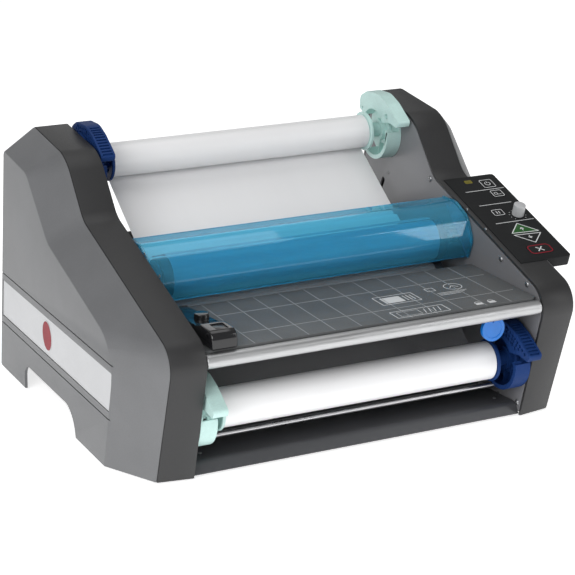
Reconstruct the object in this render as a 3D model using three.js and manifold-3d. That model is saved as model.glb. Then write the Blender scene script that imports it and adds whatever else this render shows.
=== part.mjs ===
// Desktop roll laminator: two heated rollers behind a clear shield, two pull rollers at the rear,
// an upper and a lower roll of film held in lever-locked saddles, and a control panel on the right.
// Units are millimetres. +X is to the operator's right, +Y to the rear, +Z up.
// The origin is the middle of the machine's footprint, on the table it stands on.

import * as THREE from "three";
import { mergeVertices } from "three/addons/utils/BufferGeometryUtils.js";
import Module from "manifold-3d";

const wasm = await Module();
wasm.setup();

// ---- Driving dimensions ----

const GAP = 0.3; // running and assembly clearance between separate pieces
const WALL = 3; // moulded cover wall
const SHEET = 2; // steel sheet

// Housings, given for the right side; the left side is the mirror image.
const PLATE_X = 184.5; // inner face of a side plate
const BAND_X = 221; // where the black inner cover meets the grey outer cover
const SIDE_X = 252; // outer side face
const COVER_FOOT = 2; // height of the covers' lower edge
const PLATE_FOOT = 6; // height of the side plates' lower edge

// Corners of the housing's side profile: [y, z, corner radius], from the front foot over the nose,
// up the slope and the step, along the top, and down the slanted back.
const PROFILE_INNER = [
  [-176, COVER_FOOT, 0], [-217.5, 143.8, 26], [10, 216.6, 30],
  [57, 272.5, 45], [157, 284, 9], [210.7, COVER_FOOT, 3],
];
const PROFILE_BAND = [
  [-170, COVER_FOOT, 0], [-217.5, 143.8, 26], [10, 216.6, 30],
  [57, 272.5, 45], [157, 284, 9], [210.7, COVER_FOOT, 3],
];
const PROFILE_SIDE = [
  [-110, COVER_FOOT, 0], [-149, 134.5, 42], [34.3, 190.3, 30],
  [93.5, 249.5, 22], [166, 258, 6], [210.7, COVER_FOOT, 3],
];
const PROFILE_STEPS = 6; // straight pieces in each rounded corner of a profile
const CORNER_STEPS = 3; // and in each small corner

// The slope that carries the control panel: z = SLOPE_Z + SLOPE_RISE * y.
const SLOPE_Z = 213.4;
const SLOPE_RISE = 0.32;
const SLOPE_ANGLE = Math.atan(SLOPE_RISE);

// Film.
const FILM_HALF = 152.5; // half of a 12 inch (305 mm) film width
const UPPER_ROLL = { y: 117, z: 247, r: 18.3 };
const LOWER_ROLL = { y: -159.7, z: 63.6, r: 19.7 };
const CORE_R = 12.7; // bore of the core, 1 inch
const WEB = 0.4; // modelled thickness of a film web
const WEB_EXIT_Y = 150; // where the laminated tail ends

// Rollers: the nip is level with the feed table.
const TABLE_Z = 139;
const MODULE = 1.5; // gear module
const HEAT_TEETH = 30;
const PULL_TEETH = 22;
const IDLER_TEETH = 64;
const PINION_TEETH = 14;
const HEAT_PITCH_R = (HEAT_TEETH * MODULE) / 2;
const PULL_PITCH_R = (PULL_TEETH * MODULE) / 2;
const IDLER_PITCH_R = (IDLER_TEETH * MODULE) / 2;
const PINION_PITCH_R = (PINION_TEETH * MODULE) / 2;
const NIP_HALF = 1; // half of the space between two rollers, filled by the film
const HEAT_R = HEAT_PITCH_R - NIP_HALF;
const PULL_R = PULL_PITCH_R - NIP_HALF;
const ROLLER_HALF = 165;
const HEAT_SHAFT_R = 8;
const PULL_SHAFT_R = 6;
const GEAR_X = [189, 196];
const SHAFT_END_X = 198;

const HEAT_Y = -36;
const UPPER_HEAT = { y: HEAT_Y, z: TABLE_Z + HEAT_PITCH_R };
const LOWER_HEAT = { y: HEAT_Y, z: TABLE_Z - HEAT_PITCH_R };
const IDLER_GEAR = { y: HEAT_Y + HEAT_PITCH_R + IDLER_PITCH_R, z: LOWER_HEAT.z };
const PULL_DROP = PULL_PITCH_R + TABLE_Z - 2 * PULL_PITCH_R - LOWER_HEAT.z;
const PULL_Y = IDLER_GEAR.y + Math.sqrt((IDLER_PITCH_R + PULL_PITCH_R) ** 2 - PULL_DROP ** 2);
const UPPER_PULL = { y: PULL_Y, z: TABLE_Z + PULL_PITCH_R };
const LOWER_PULL = { y: PULL_Y, z: TABLE_Z - PULL_PITCH_R };
const PINION_ANGLE = THREE.MathUtils.degToRad(230); // from the lower heat roller to the pinion
const PINION = {
  y: LOWER_HEAT.y + (HEAT_PITCH_R + PINION_PITCH_R) * Math.cos(PINION_ANGLE),
  z: LOWER_HEAT.z + (HEAT_PITCH_R + PINION_PITCH_R) * Math.sin(PINION_ANGLE),
};
const IDLER_AXLE_R = 5;

// Bars between the side plates.
const FRONT_BAR = { y: -204, z: 130.3, r: 7 };
const LOWER_BAR = { y: -144, z: 28.8, r: 2.75 };
const UPPER_BAR = { y: 3, z: 155, r: 5 };

// Feed table.
const TABLE_Y = [-199.5, -72];
const TABLE_SHEET = 2.5;
const TABLE_HALF = 183.5;
const LEDGE_Z = TABLE_Z - TABLE_SHEET - GAP;

// Heat shield: a bent clear sheet that hinges on two pins near its rear edge.
const SHIELD_OUTLINE = [
  [-68.7, 145.6], [-74.3, 157], [-75.6, 170.6], [-69, 182],
  [-60, 191], [-45.5, 197.5], [-29, 201], [-14, 200],
];
const SHIELD_SHEET = 2.5;
const SHIELD_HALF = 183;
const SHIELD_PIN = { y: -24, z: 192, r: 3 };

// Saddles, chucks and locking levers, all turned about the axis of their film roll.
const SADDLE_R = 33;
const SADDLE_X = [166.5, 184.2];
const SADDLE_ARC = [175, 305]; // degrees covered by the tub, 180 is to the front
const JOURNAL_R = 12;
const CHUCK_SHAFT_R = 8;
const LEVER_X = [166, 181.4];
const LEVER_INNER_R = 24;

// Rear panel and base.
const REAR_Y = 177;
const REAR_TOP = 127; // the laminated sheet leaves over this edge
const REAR_LIP = 12;
const INLET = { x: 120, z: 45 };

// The lower levers reach out in front of the housings, so the drawing's zero, which is the middle
// of the housings, lies this far behind the middle of the whole machine.
const FOOTPRINT_SHIFT = 3.65;

const DEG = Math.PI / 180;

// ---- Materials ----

function finish(colour, roughness, metalness = 0) {
  return new THREE.MeshStandardMaterial({ color: colour, roughness, metalness });
}

const FINISH = {
  graphite: finish(0x606163, 0.55),
  black: finish(0x2f2f30, 0.5),
  silver: finish(0xd5d6d8, 0.4, 0.3),
  plate: finish(0x77777a, 0.5, 0.1),
  darkSteel: finish(0x46474a, 0.5, 0.2),
  aluminium: finish(0xb9babb, 0.35, 1),
  chrome: finish(0xe6e6e8, 0.12, 1),
  slate: finish(0x55585c, 0.5),
  gloss: finish(0x151517, 0.2),
  azure: finish(0x0a78d6, 0.35),
  shield: finish(0x1c78bd, 0.1),
  film: finish(0xf2f2f4, 0.2),
  web: finish(0xf6f6f8, 0.25),
  navy: finish(0x2b4f8a, 0.45),
  teal: finish(0xb5dcd5, 0.5),
  silicone: finish(0x8d3b2d, 0.7),
  rubber: finish(0x202020, 0.9),
  gear: finish(0xd9d4c4, 0.6),
  steel: finish(0x9a9b9d, 0.35, 1),
  circuit: finish(0x1f5a36, 0.6),
  green: finish(0x2f7d3a, 0.5),
  red: finish(0x8d2030, 0.5),
  amber: finish(0xd8a020, 0.3),
};

// ---- Geometry helpers ----

function solidOf(geometry) {
  const bare = geometry.clone();
  for (const name of ["normal", "uv"]) bare.deleteAttribute(name);
  const merged = mergeVertices(bare, 1e-4);
  return new wasm.Manifold(new wasm.Mesh({
    numProp: 3,
    vertProperties: new Float32Array(merged.attributes.position.array),
    triVerts: new Uint32Array(merged.index.array),
  }));
}

function geometryOf(solid) {
  const { vertProperties, triVerts } = solid.getMesh();
  return new THREE.BufferGeometry()
    .setAttribute("position", new THREE.BufferAttribute(new Float32Array(vertProperties), 3))
    .setIndex(new THREE.BufferAttribute(new Uint32Array(triVerts), 1));
}

function join(...geometries) {
  return geometryOf(geometries.map(solidOf).reduce((sum, next) => sum.add(next)));
}

function cut(geometry, ...tools) {
  return geometryOf(tools.map(solidOf).reduce((rest, tool) => rest.subtract(tool), solidOf(geometry)));
}

function piece(name, geometry, material) {
  const drawn = geometry.index ? geometry.toNonIndexed() : geometry;
  drawn.computeVertexNormals();
  const mesh = new THREE.Mesh(drawn, material);
  mesh.name = name;
  return mesh;
}

// A box between two limits on each axis.
function block([x0, x1], [y0, y1], [z0, z1]) {
  return new THREE.BoxGeometry(x1 - x0, y1 - y0, z1 - z0)
    .translate((x0 + x1) / 2, (y0 + y1) / 2, (z0 + z1) / 2);
}

// Turns a shape drawn in the YZ plane, extruded along the local Z axis, to run along X.
const ALONG_X = new THREE.Matrix4().makeBasis(
  new THREE.Vector3(0, 1, 0),
  new THREE.Vector3(0, 0, 1),
  new THREE.Vector3(1, 0, 0),
);

// Extrudes a YZ shape or outline from x0 to x1.
function prism(outline, [x0, x1], curveSegments = 12) {
  const shape = outline instanceof THREE.Shape ? outline : new THREE.Shape(outline);
  return new THREE.ExtrudeGeometry(shape, { depth: x1 - x0, bevelEnabled: false, curveSegments })
    .applyMatrix4(ALONG_X)
    .translate(x0, 0, 0);
}

// A turned piece about an axis along X: the profile is [radius, x] pairs.
function turned(profile, { y, z }, segments = 28) {
  const points = profile.map(([radius, x]) => new THREE.Vector2(radius, x));
  return new THREE.LatheGeometry(points, segments).rotateZ(-Math.PI / 2).translate(0, y, z);
}

function rod(r, [x0, x1], at, segments = 24) {
  return turned([[0, x0], [r, x0], [r, x1], [0, x1]], at, segments);
}

function tube(outer, inner, [x0, x1], at, segments = 28) {
  return turned([[inner, x0], [outer, x0], [outer, x1], [inner, x1], [inner, x0]], at, segments);
}

// Replaces each corner [y, z, radius] of a closed outline by an arc.
function rounded(corners, steps = PROFILE_STEPS) {
  const at = corners.map(([y, z]) => new THREE.Vector2(y, z));
  const points = [];
  corners.forEach(([, , radius], i) => {
    const here = at[i];
    if (!radius) {
      points.push(here.clone());
      return;
    }
    const back = at[(i + at.length - 1) % at.length].clone().sub(here).normalize();
    const on = at[(i + 1) % at.length].clone().sub(here).normalize();
    const reach = radius / Math.tan(Math.acos(back.dot(on)) / 2);
    const from = here.clone().addScaledVector(back, reach);
    const to = here.clone().addScaledVector(on, reach);
    const centre = here.clone().addScaledVector(
      back.clone().add(on).normalize(),
      Math.hypot(reach, radius),
    );
    const start = Math.atan2(from.y - centre.y, from.x - centre.x);
    let sweep = Math.atan2(to.y - centre.y, to.x - centre.x) - start;
    sweep = Math.atan2(Math.sin(sweep), Math.cos(sweep));
    for (let k = 0; k <= steps; k += 1) {
      const angle = start + (sweep * k) / steps;
      points.push(new THREE.Vector2(
        centre.x + radius * Math.cos(angle),
        centre.y + radius * Math.sin(angle),
      ));
    }
  });
  return points;
}

// Moves each edge of a closed clockwise outline inwards by the given distance.
function inset(corners, distance) {
  const count = corners.length;
  const edges = corners.map(([y, z], i) => {
    const [nextY, nextZ] = corners[(i + 1) % count];
    const length = Math.hypot(nextY - y, nextZ - z);
    const along = [(nextY - y) / length, (nextZ - z) / length];
    return { y: y + along[1] * distance, z: z - along[0] * distance, along };
  });
  return corners.map(([, , radius], i) => {
    const before = edges[(i + count - 1) % count];
    const after = edges[i];
    const cross = before.along[0] * after.along[1] - before.along[1] * after.along[0];
    const step = ((after.y - before.y) * after.along[1] - (after.z - before.z) * after.along[0]) / cross;
    return [before.y + before.along[0] * step, before.z + before.along[1] * step, radius];
  });
}

// A ruled solid between two outlines with the same number of points, at x0 and x1.
function loft(outline0, x0, outline1, x1) {
  const count = outline0.length;
  const positions = [];
  for (const point of outline0) positions.push(x0, point.x, point.y);
  for (const point of outline1) positions.push(x1, point.x, point.y);
  const faces = [];
  for (let i = 0; i < count; i += 1) {
    const next = (i + 1) % count;
    faces.push(i, next, count + next, i, count + next, count + i);
  }
  for (const [a, b, c] of THREE.ShapeUtils.triangulateShape(outline0, [])) faces.push(a, b, c);
  for (const [a, b, c] of THREE.ShapeUtils.triangulateShape(outline1, [])) {
    faces.push(count + a, count + c, count + b);
  }
  const geometry = new THREE.BufferGeometry()
    .setAttribute("position", new THREE.Float32BufferAttribute(positions, 3))
    .setIndex(faces);
  return solidOf(geometry).volume() < 0 ? flipped(geometry) : geometry;
}

function flipped(geometry) {
  const faces = Array.from(geometry.index.array);
  for (let i = 0; i < faces.length; i += 3) {
    [faces[i + 1], faces[i + 2]] = [faces[i + 2], faces[i + 1]];
  }
  return geometry.clone().setIndex(faces);
}

// A strip of constant thickness that follows a YZ path.
function ribbon(path, thickness, [x0, x1]) {
  const sides = [[], []];
  path.forEach((point, i) => {
    const ahead = path[Math.min(i + 1, path.length - 1)];
    const behind = path[Math.max(i - 1, 0)];
    const into = point.clone().sub(behind).normalize();
    const out = ahead.clone().sub(point).normalize();
    const mean = into.clone().add(out).normalize();
    const bend = i > 0 && i < path.length - 1 ? mean.dot(out) : 1;
    const normal = new THREE.Vector2(-mean.y, mean.x).multiplyScalar(thickness / 2 / bend);
    sides[0].push(point.clone().add(normal));
    sides[1].unshift(point.clone().sub(normal));
  });
  return prism([...sides[0], ...sides[1]], [x0, x1]);
}

function polar({ y, z }, radius, degrees) {
  return new THREE.Vector2(y + radius * Math.cos(degrees * DEG), z + radius * Math.sin(degrees * DEG));
}

function arcPoints(centre, radius, fromDegrees, toDegrees, steps) {
  return Array.from({ length: steps + 1 }, (_, k) =>
    polar(centre, radius, fromDegrees + ((toDegrees - fromDegrees) * k) / steps));
}

// ---- Housings ----

// A housing's corners with the two foot corners carried on down to the given height.
function reachingTo(height, corners) {
  const carried = ([y0, z0], [y1, z1, radius]) => [y1 + ((y0 - y1) * (height - z1)) / (z0 - z1), height, radius];
  const last = corners.length - 1;
  const moved = [...corners];
  moved[0] = carried(corners[1], corners[0]);
  moved[last] = carried(corners[last - 1], [...corners[last].slice(0, 2), 0]);
  return moved;
}

// A cover's hollow: the outline moved in by the wall, and open at the foot.
function hollow(corners) {
  return rounded(inset(reachingTo(-20, corners), WALL));
}

// Control panel frame: its origin is the middle of the panel, on the slope.
const PANEL = { x: [190, SIDE_X], y: -80, halfLength: 82.9, top: 1, bottom: -11 };

function onPanel(geometry) {
  return geometry.rotateX(SLOPE_ANGLE).translate(0, PANEL.y, SLOPE_Z + SLOPE_RISE * PANEL.y);
}

function panelPocket() {
  const reach = PANEL.halfLength + GAP;
  return onPanel(block(
    [PANEL.x[0] - GAP, SIDE_X + 10],
    [-reach, reach],
    [PANEL.bottom - GAP, PANEL.top + 30],
  ));
}

function innerCover(withPanel) {
  const shell = cut(
    loft(rounded(PROFILE_INNER), PLATE_X, rounded(PROFILE_BAND), BAND_X),
    loft(hollow(PROFILE_INNER), PLATE_X - 1, hollow(PROFILE_BAND), BAND_X + 1),
  );
  return withPanel ? cut(shell, panelPocket()) : shell;
}

// Stripe inlay on the outer face, and the two grooves above and below it.
const STRIPE = { z: [65.5, 107.5], depth: 1.5 };
const STRIPE_FRONT = [[-127.4, 65.5], [-136.2, 95], [-138, 107.5]]; // follows the side face's edge
const GROOVES_Z = [57, 116];
const GROOVE = 1.4;
const FOOT_CUT = { foot: [-32, 128], top: [-24, 126], radius: [28, 16], height: 31.5 };

function stripeOutline(margin) {
  const [z0, z1] = STRIPE.z;
  const [low, middle, high] = STRIPE_FRONT.map(([y, z]) => [y - margin, z]);
  const rear = (z) => 210.7 - 0.175 * z - 3.4 + margin;
  return [
    [low[0], z0 - margin], [rear(z0), z0 - margin],
    [rear(z1), z1 + margin], [high[0], z1 + margin], middle,
  ].map(([y, z]) => new THREE.Vector2(y, z));
}

function outerCover(withPanel) {
  const start = BAND_X + GAP;
  const shell = loft(rounded(PROFILE_BAND), start, rounded(PROFILE_SIDE), SIDE_X);
  const inside = loft(hollow(PROFILE_BAND), start - 1, hollow(PROFILE_SIDE), SIDE_X - WALL);
  const footShape = rounded([
    [FOOT_CUT.foot[0], -5, 0], [FOOT_CUT.top[0], FOOT_CUT.height, FOOT_CUT.radius[0]],
    [FOOT_CUT.top[1], FOOT_CUT.height, FOOT_CUT.radius[1]], [FOOT_CUT.foot[1], -5, 0],
  ], CORNER_STEPS);
  const tools = [
    inside,
    prism(footShape, [SIDE_X - WALL - 10, SIDE_X + 5]),
    prism(stripeOutline(GAP), [SIDE_X - STRIPE.depth - GAP, SIDE_X + 5]),
    ...GROOVES_Z.map((z) => block(
      [SIDE_X - GROOVE, SIDE_X + 5],
      [-160, 220],
      [z - GROOVE / 2, z + GROOVE / 2],
    )),
  ];
  if (withPanel) tools.push(panelPocket());
  return cut(shell, ...tools);
}

// Steel side plate with a foot flange, a ledge for the feed table and the bores for the shafts.
function sidePlate(withAxle) {
  const clearance = WALL + 3 * GAP;
  const outline = inset(reachingTo(PLATE_FOOT - clearance, PROFILE_INNER), clearance);
  const plateX = [PLATE_X, PLATE_X + SHEET];
  const solids = [
    prism(rounded(outline), plateX),
    block([PLATE_X, BAND_X - 4], [-162, 200], [PLATE_FOOT, PLATE_FOOT + SHEET]),
    block([PLATE_X - 7, PLATE_X + 1], [-190, TABLE_Y[1] - 6], [LEDGE_Z - SHEET, LEDGE_Z]),
  ];
  if (withAxle) solids.push(rod(IDLER_AXLE_R, [PLATE_X + 0.5, SHAFT_END_X], IDLER_GEAR, 20));
  const bore = (r, at) => rod(r + GAP, [PLATE_X - 1, PLATE_X + SHEET + 1], at, 20);
  return cut(
    join(...solids),
    bore(HEAT_SHAFT_R, UPPER_HEAT), bore(HEAT_SHAFT_R, LOWER_HEAT),
    bore(PULL_SHAFT_R, UPPER_PULL), bore(PULL_SHAFT_R, LOWER_PULL),
    bore(SHIELD_PIN.r, SHIELD_PIN),
  );
}

const FOOT = { x: 203, y: [-148, 186], r: 11, height: PLATE_FOOT - GAP };

function foot(y) {
  return new THREE.CylinderGeometry(FOOT.r, FOOT.r - 1.5, FOOT.height, 20)
    .rotateX(Math.PI / 2)
    .translate(FOOT.x, y, FOOT.height / 2);
}

function housing(side, withDrive) {
  const group = new THREE.Group();
  group.add(
    piece(side + "_side_plate", sidePlate(withDrive), FINISH.plate),
    piece(side + "_inner_cover", innerCover(withDrive), FINISH.black),
    piece(side + "_outer_cover", outerCover(withDrive), FINISH.graphite),
    piece(side + "_stripe", prism(stripeOutline(0), [SIDE_X - STRIPE.depth, SIDE_X]), FINISH.silver),
    piece(side + "_front_foot", foot(FOOT.y[0]), FINISH.rubber),
    piece(side + "_rear_foot", foot(FOOT.y[1]), FINISH.rubber),
  );
  return group;
}

// ---- Frame between the housings ----

const SPAN = [GAP - PLATE_X, PLATE_X - GAP];
const BASE_Z = 9;

function bent(points, thickness, span = SPAN) {
  return ribbon(points.map(([y, z]) => new THREE.Vector2(y, z)), thickness, span);
}

function rearPanel() {
  const middle = REAR_Y - TABLE_SHEET / 2;
  const bend = 4;
  const lip = [middle - bend - REAR_LIP, REAR_TOP];
  const sheet = bent(
    [[middle, 12.5], [middle, REAR_TOP - bend], [middle - bend, REAR_TOP], lip],
    TABLE_SHEET,
  );
  return cut(
    sheet,
    block([INLET.x - 14, INLET.x + 14], [REAR_Y - 10, REAR_Y + 5], [INLET.z - 10.5, INLET.z + 10.5]),
  );
}

// Three-pole appliance inlet: a flange outside the rear panel and an open socket.
function powerInlet() {
  const [flange, body, mouth] = [[18, 14], [13.6, 10.1], [11.2, 7.8]];
  const layer = ([halfX, halfZ], y) => block(
    [INLET.x - halfX, INLET.x + halfX],
    y,
    [INLET.z - halfZ, INLET.z + halfZ],
  );
  return cut(
    join(layer(flange, [REAR_Y + GAP, REAR_Y + 2.5]), layer(body, [REAR_Y - 20, REAR_Y + 1])),
    layer(mouth, [REAR_Y - 15, REAR_Y + 5]),
  );
}

function frame() {
  const group = new THREE.Group();
  group.add(
    piece("base_plate", block(SPAN, [-95, 176], [BASE_Z, BASE_Z + SHEET]), FINISH.darkSteel),
    piece("front_tray", bent([[-175, 5], [-168, 14.5], [-160, 16], [-98, 12]], SHEET), FINISH.darkSteel),
    piece("rear_panel", rearPanel(), FINISH.black),
    piece("lower_idler_bar", rod(LOWER_BAR.r, SPAN, LOWER_BAR, 16), FINISH.chrome),
    piece("upper_idler_bar", rod(UPPER_BAR.r, SPAN, UPPER_BAR, 20), FINISH.aluminium),
    piece("power_inlet", powerInlet(), FINISH.gloss),
  );
  return group;
}

// ---- Feed table ----

const GUIDE = { x: [-176, -149.5], y: [-203, -80], z: [TABLE_Z + GAP, 157] };
const LATCH = { x: 141, y: -186, z: 123, r: 13, drop: 15, thickness: 4 };

function feedTable() {
  const middle = TABLE_Z - TABLE_SHEET / 2;
  const top = block([-TABLE_HALF, TABLE_HALF], TABLE_Y, [TABLE_Z - TABLE_SHEET, TABLE_Z]);
  const lip = (y) => block([-172, 172], [y, y + SHEET], [middle - 8, middle]);
  const lug = (x) => block([x, x + 3], [LATCH.y - 5, LATCH.y + 5], [LATCH.z - 2.5, middle]);
  const pinSpan = [LATCH.x - 10, LATCH.x + 10];
  return join(
    top, lip(TABLE_Y[0] + 3), lip(TABLE_Y[1] - SHEET),
    lug(pinSpan[0]), lug(pinSpan[1] - 3),
    rod(2, [pinSpan[0] + 1, pinSpan[1] - 1], LATCH, 12),
  );
}

// Edge guide: a rounded block at the front, a clamp knob, a body that falls to the rear and a fin.
function edgeGuide() {
  const [y0, y1] = GUIDE.y;
  const [z0, z1] = GUIDE.z;
  const side = new THREE.Shape();
  side.moveTo(y0, z0);
  side.lineTo(y1, z0);
  side.lineTo(y1, z0 + 5);
  side.lineTo(y0 + 40, z1 - 3);
  side.quadraticCurveTo(y0 + 34, z1, y0 + 28, z1);
  side.lineTo(y0 + 8, z1);
  side.quadraticCurveTo(y0, z1, y0, z1 - 8);
  const body = prism(side, GUIDE.x, 6);
  const fin = block([GUIDE.x[0] + 3, GUIDE.x[0] + 6], [y1 - 40, y1], [z0, z1 - 2]);
  const knob = rod(9, [0, 1], { y: 0, z: 0 }, 24).rotateY(-Math.PI / 2);
  return join(body, fin, knob.scale(1, 1, z1 - z0 - 1).translate(GUIDE.x[1] - 10, y0 + 62, z0));
}

// Round finger tab that hangs on the pin under the table.
function tableLatch() {
  const shape = new THREE.Shape();
  shape.absarc(LATCH.x, LATCH.z - LATCH.drop, LATCH.r, 0, Math.PI * 2);
  const face = new THREE.ExtrudeGeometry(shape, { depth: LATCH.thickness, bevelEnabled: false })
    .rotateX(Math.PI / 2)
    .translate(0, LATCH.y + LATCH.thickness / 2, 0);
  const knuckle = rod(4, [LATCH.x - 6, LATCH.x + 6], LATCH, 16);
  return cut(join(face, knuckle), rod(2 + GAP, [LATCH.x - 20, LATCH.x + 20], LATCH, 12));
}

function table() {
  const group = new THREE.Group();
  const barSpan = [-TABLE_HALF, TABLE_HALF];
  group.add(
    piece("feed_table", feedTable(), FINISH.slate),
    piece("front_bar", rod(FRONT_BAR.r, barSpan, FRONT_BAR, 28), FINISH.aluminium),
    piece("edge_guide", edgeGuide(), FINISH.gloss),
    piece("table_latch", tableLatch(), FINISH.azure),
  );
  return group;
}

// ---- Heat shield ----

function heatShield() {
  const points = SHIELD_OUTLINE.map(([y, z]) => new THREE.Vector2(y, z));
  const curve = new THREE.SplineCurve(points).getPoints(18);
  const sheet = ribbon(curve, SHIELD_SHEET, [-SHIELD_HALF, SHIELD_HALF]);
  const cap = (x) => prism(curve, [x, x + SHIELD_SHEET]);
  const pin = (x0, x1) => rod(SHIELD_PIN.r, [x0, x1], SHIELD_PIN, 16);
  const pinEnd = PLATE_X + SHEET + 2;
  return join(
    sheet,
    cap(-SHIELD_HALF), cap(SHIELD_HALF - SHIELD_SHEET),
    pin(-pinEnd, 1 - SHIELD_HALF), pin(SHIELD_HALF - 1, pinEnd),
  );
}

// ---- Rollers and gears ----

function roller(r, shaftR, at) {
  return turned([
    [0, -SHAFT_END_X], [shaftR, -SHAFT_END_X], [shaftR, -ROLLER_HALF], [r, -ROLLER_HALF],
    [r, ROLLER_HALF], [shaftR, ROLLER_HALF], [shaftR, SHAFT_END_X], [0, SHAFT_END_X],
  ], at);
}

// Spur gear with straight-sided teeth. A tooth stands centred on the phase angle.
function gearOutline(teeth, { y, z }, phaseDegrees) {
  const pitchR = (teeth * MODULE) / 2;
  const step = 360 / teeth;
  const flanks = [[-0.9, 0.31], [0.85, 0.115]]; // [height in modules, half thickness in pitches]
  const shape = new THREE.Shape();
  for (let k = 0; k < teeth; k += 1) {
    const middle = phaseDegrees + k * step;
    const [root, tip] = flanks;
    for (const [[height, half], sign] of [[root, -1], [tip, -1], [tip, 1], [root, 1]]) {
      const point = polar({ y, z }, pitchR + height * MODULE, middle + sign * half * step);
      if (k === 0 && sign === -1 && height < 0) shape.moveTo(point.x, point.y);
      else shape.lineTo(point.x, point.y);
    }
  }
  return shape;
}

function gear(teeth, at, phaseDegrees, boreR) {
  const shape = gearOutline(teeth, at, phaseDegrees);
  if (boreR) shape.holes.push(new THREE.Path().absarc(at.y, at.z, boreR, 0, Math.PI * 2));
  return prism(shape, GEAR_X, 10);
}

// The phase of a gear whose gap faces a tooth of its neighbour in the given direction.
function gapTowards(teeth, degrees) {
  return degrees + 180 / teeth;
}

// The phase, as a tooth's angle, that a meshing neighbour needs: the driver has a tooth at
// driverPhase, and the direction runs from the driver to the driven gear.
function meshPhase(driverTeeth, driverPhase, drivenTeeth, direction) {
  const driverStep = 360 / driverTeeth;
  const offset = ((direction - driverPhase) / driverStep) % 1;
  const drivenStep = 360 / drivenTeeth;
  return gapTowards(drivenTeeth, direction + 180) + offset * drivenStep;
}

function directionOf(from, to) {
  return Math.atan2(to.z - from.z, to.y - from.y) / DEG;
}

function drive() {
  const group = new THREE.Group();
  const lowerPhase = 90;
  const phase = (teeth, from, fromTeeth, fromPhase, to) =>
    meshPhase(fromTeeth, fromPhase, teeth, directionOf(from, to));
  const upperPhase = phase(HEAT_TEETH, LOWER_HEAT, HEAT_TEETH, lowerPhase, UPPER_HEAT);
  const idlerPhase = phase(IDLER_TEETH, LOWER_HEAT, HEAT_TEETH, lowerPhase, IDLER_GEAR);
  const lowerPullPhase = phase(PULL_TEETH, IDLER_GEAR, IDLER_TEETH, idlerPhase, LOWER_PULL);
  const upperPullPhase = phase(PULL_TEETH, LOWER_PULL, PULL_TEETH, lowerPullPhase, UPPER_PULL);
  const pinionPhase = phase(PINION_TEETH, LOWER_HEAT, HEAT_TEETH, lowerPhase, PINION);
  const heatBore = HEAT_SHAFT_R + GAP;
  const pullBore = PULL_SHAFT_R + GAP;
  group.add(
    piece("upper_heat_roller", roller(HEAT_R, HEAT_SHAFT_R, UPPER_HEAT), FINISH.silicone),
    piece("lower_heat_roller", roller(HEAT_R, HEAT_SHAFT_R, LOWER_HEAT), FINISH.silicone),
    piece("upper_pull_roller", roller(PULL_R, PULL_SHAFT_R, UPPER_PULL), FINISH.rubber),
    piece("lower_pull_roller", roller(PULL_R, PULL_SHAFT_R, LOWER_PULL), FINISH.rubber),
    piece("upper_heat_gear", gear(HEAT_TEETH, UPPER_HEAT, upperPhase, heatBore), FINISH.gear),
    piece("lower_heat_gear", gear(HEAT_TEETH, LOWER_HEAT, lowerPhase, heatBore), FINISH.gear),
    piece("idler_gear", gear(IDLER_TEETH, IDLER_GEAR, idlerPhase, IDLER_AXLE_R + GAP), FINISH.gear),
    piece("lower_pull_gear", gear(PULL_TEETH, LOWER_PULL, lowerPullPhase, pullBore), FINISH.gear),
    piece("upper_pull_gear", gear(PULL_TEETH, UPPER_PULL, upperPullPhase, pullBore), FINISH.gear),
    piece("motor_pinion", pinion(pinionPhase), FINISH.steel),
    piece("drive_motor", driveMotor(), FINISH.steel),
  );
  return group;
}

const MOTOR_FACE_X = 199.5;

function pinion(phaseDegrees) {
  return join(
    gear(PINION_TEETH, PINION, phaseDegrees, 0),
    rod(4, [GEAR_X[1] - 1, MOTOR_FACE_X - GAP], PINION, 16),
  );
}

// Gearbox and motor can, held off the side plate by three posts.
function driveMotor() {
  const postX = [PLATE_X + SHEET + GAP, MOTOR_FACE_X + 1];
  const away = PINION_ANGLE / DEG;
  const posts = [-70, 0, 70].map((turn) => {
    const at = polar(PINION, 22, away + turn);
    return rod(3, postX, { y: at.x, z: at.y }, 12);
  });
  return join(
    rod(26, [MOTOR_FACE_X, MOTOR_FACE_X + 14], PINION),
    rod(19, [MOTOR_FACE_X + 13, MOTOR_FACE_X + 44], PINION),
    ...posts,
  );
}

// ---- Film rolls, their ends and the webs ----

function chuck(roll, flangeR) {
  const x = FILM_HALF;
  return turned([
    [0, x - 24], [CORE_R - 1.2, x - 24], [CORE_R - GAP, x - 20], [CORE_R - GAP, x + GAP],
    [flangeR, x + GAP], [flangeR, x + 3.8], [CHUCK_SHAFT_R, x + 5.5], [CHUCK_SHAFT_R, 178], [0, 178],
  ], roll, 24);
}

// Saddle: an end wall on the side plate, a tub open to the top and rear, and a journal.
function saddle(roll) {
  const [x0, x1] = SADDLE_X;
  const wallX = [x1 - 2.4, x1];
  const [from, to] = SADDLE_ARC;
  const tub = [
    ...arcPoints(roll, SADDLE_R, from, to, 9),
    ...arcPoints(roll, SADDLE_R - 3, to, from, 9),
  ];
  return join(
    rod(SADDLE_R, wallX, roll, 28),
    prism(tub, [x0, x1 - 1]),
    tube(JOURNAL_R, CHUCK_SHAFT_R + GAP, [172, x1 - 1], roll, 20),
  );
}

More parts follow.
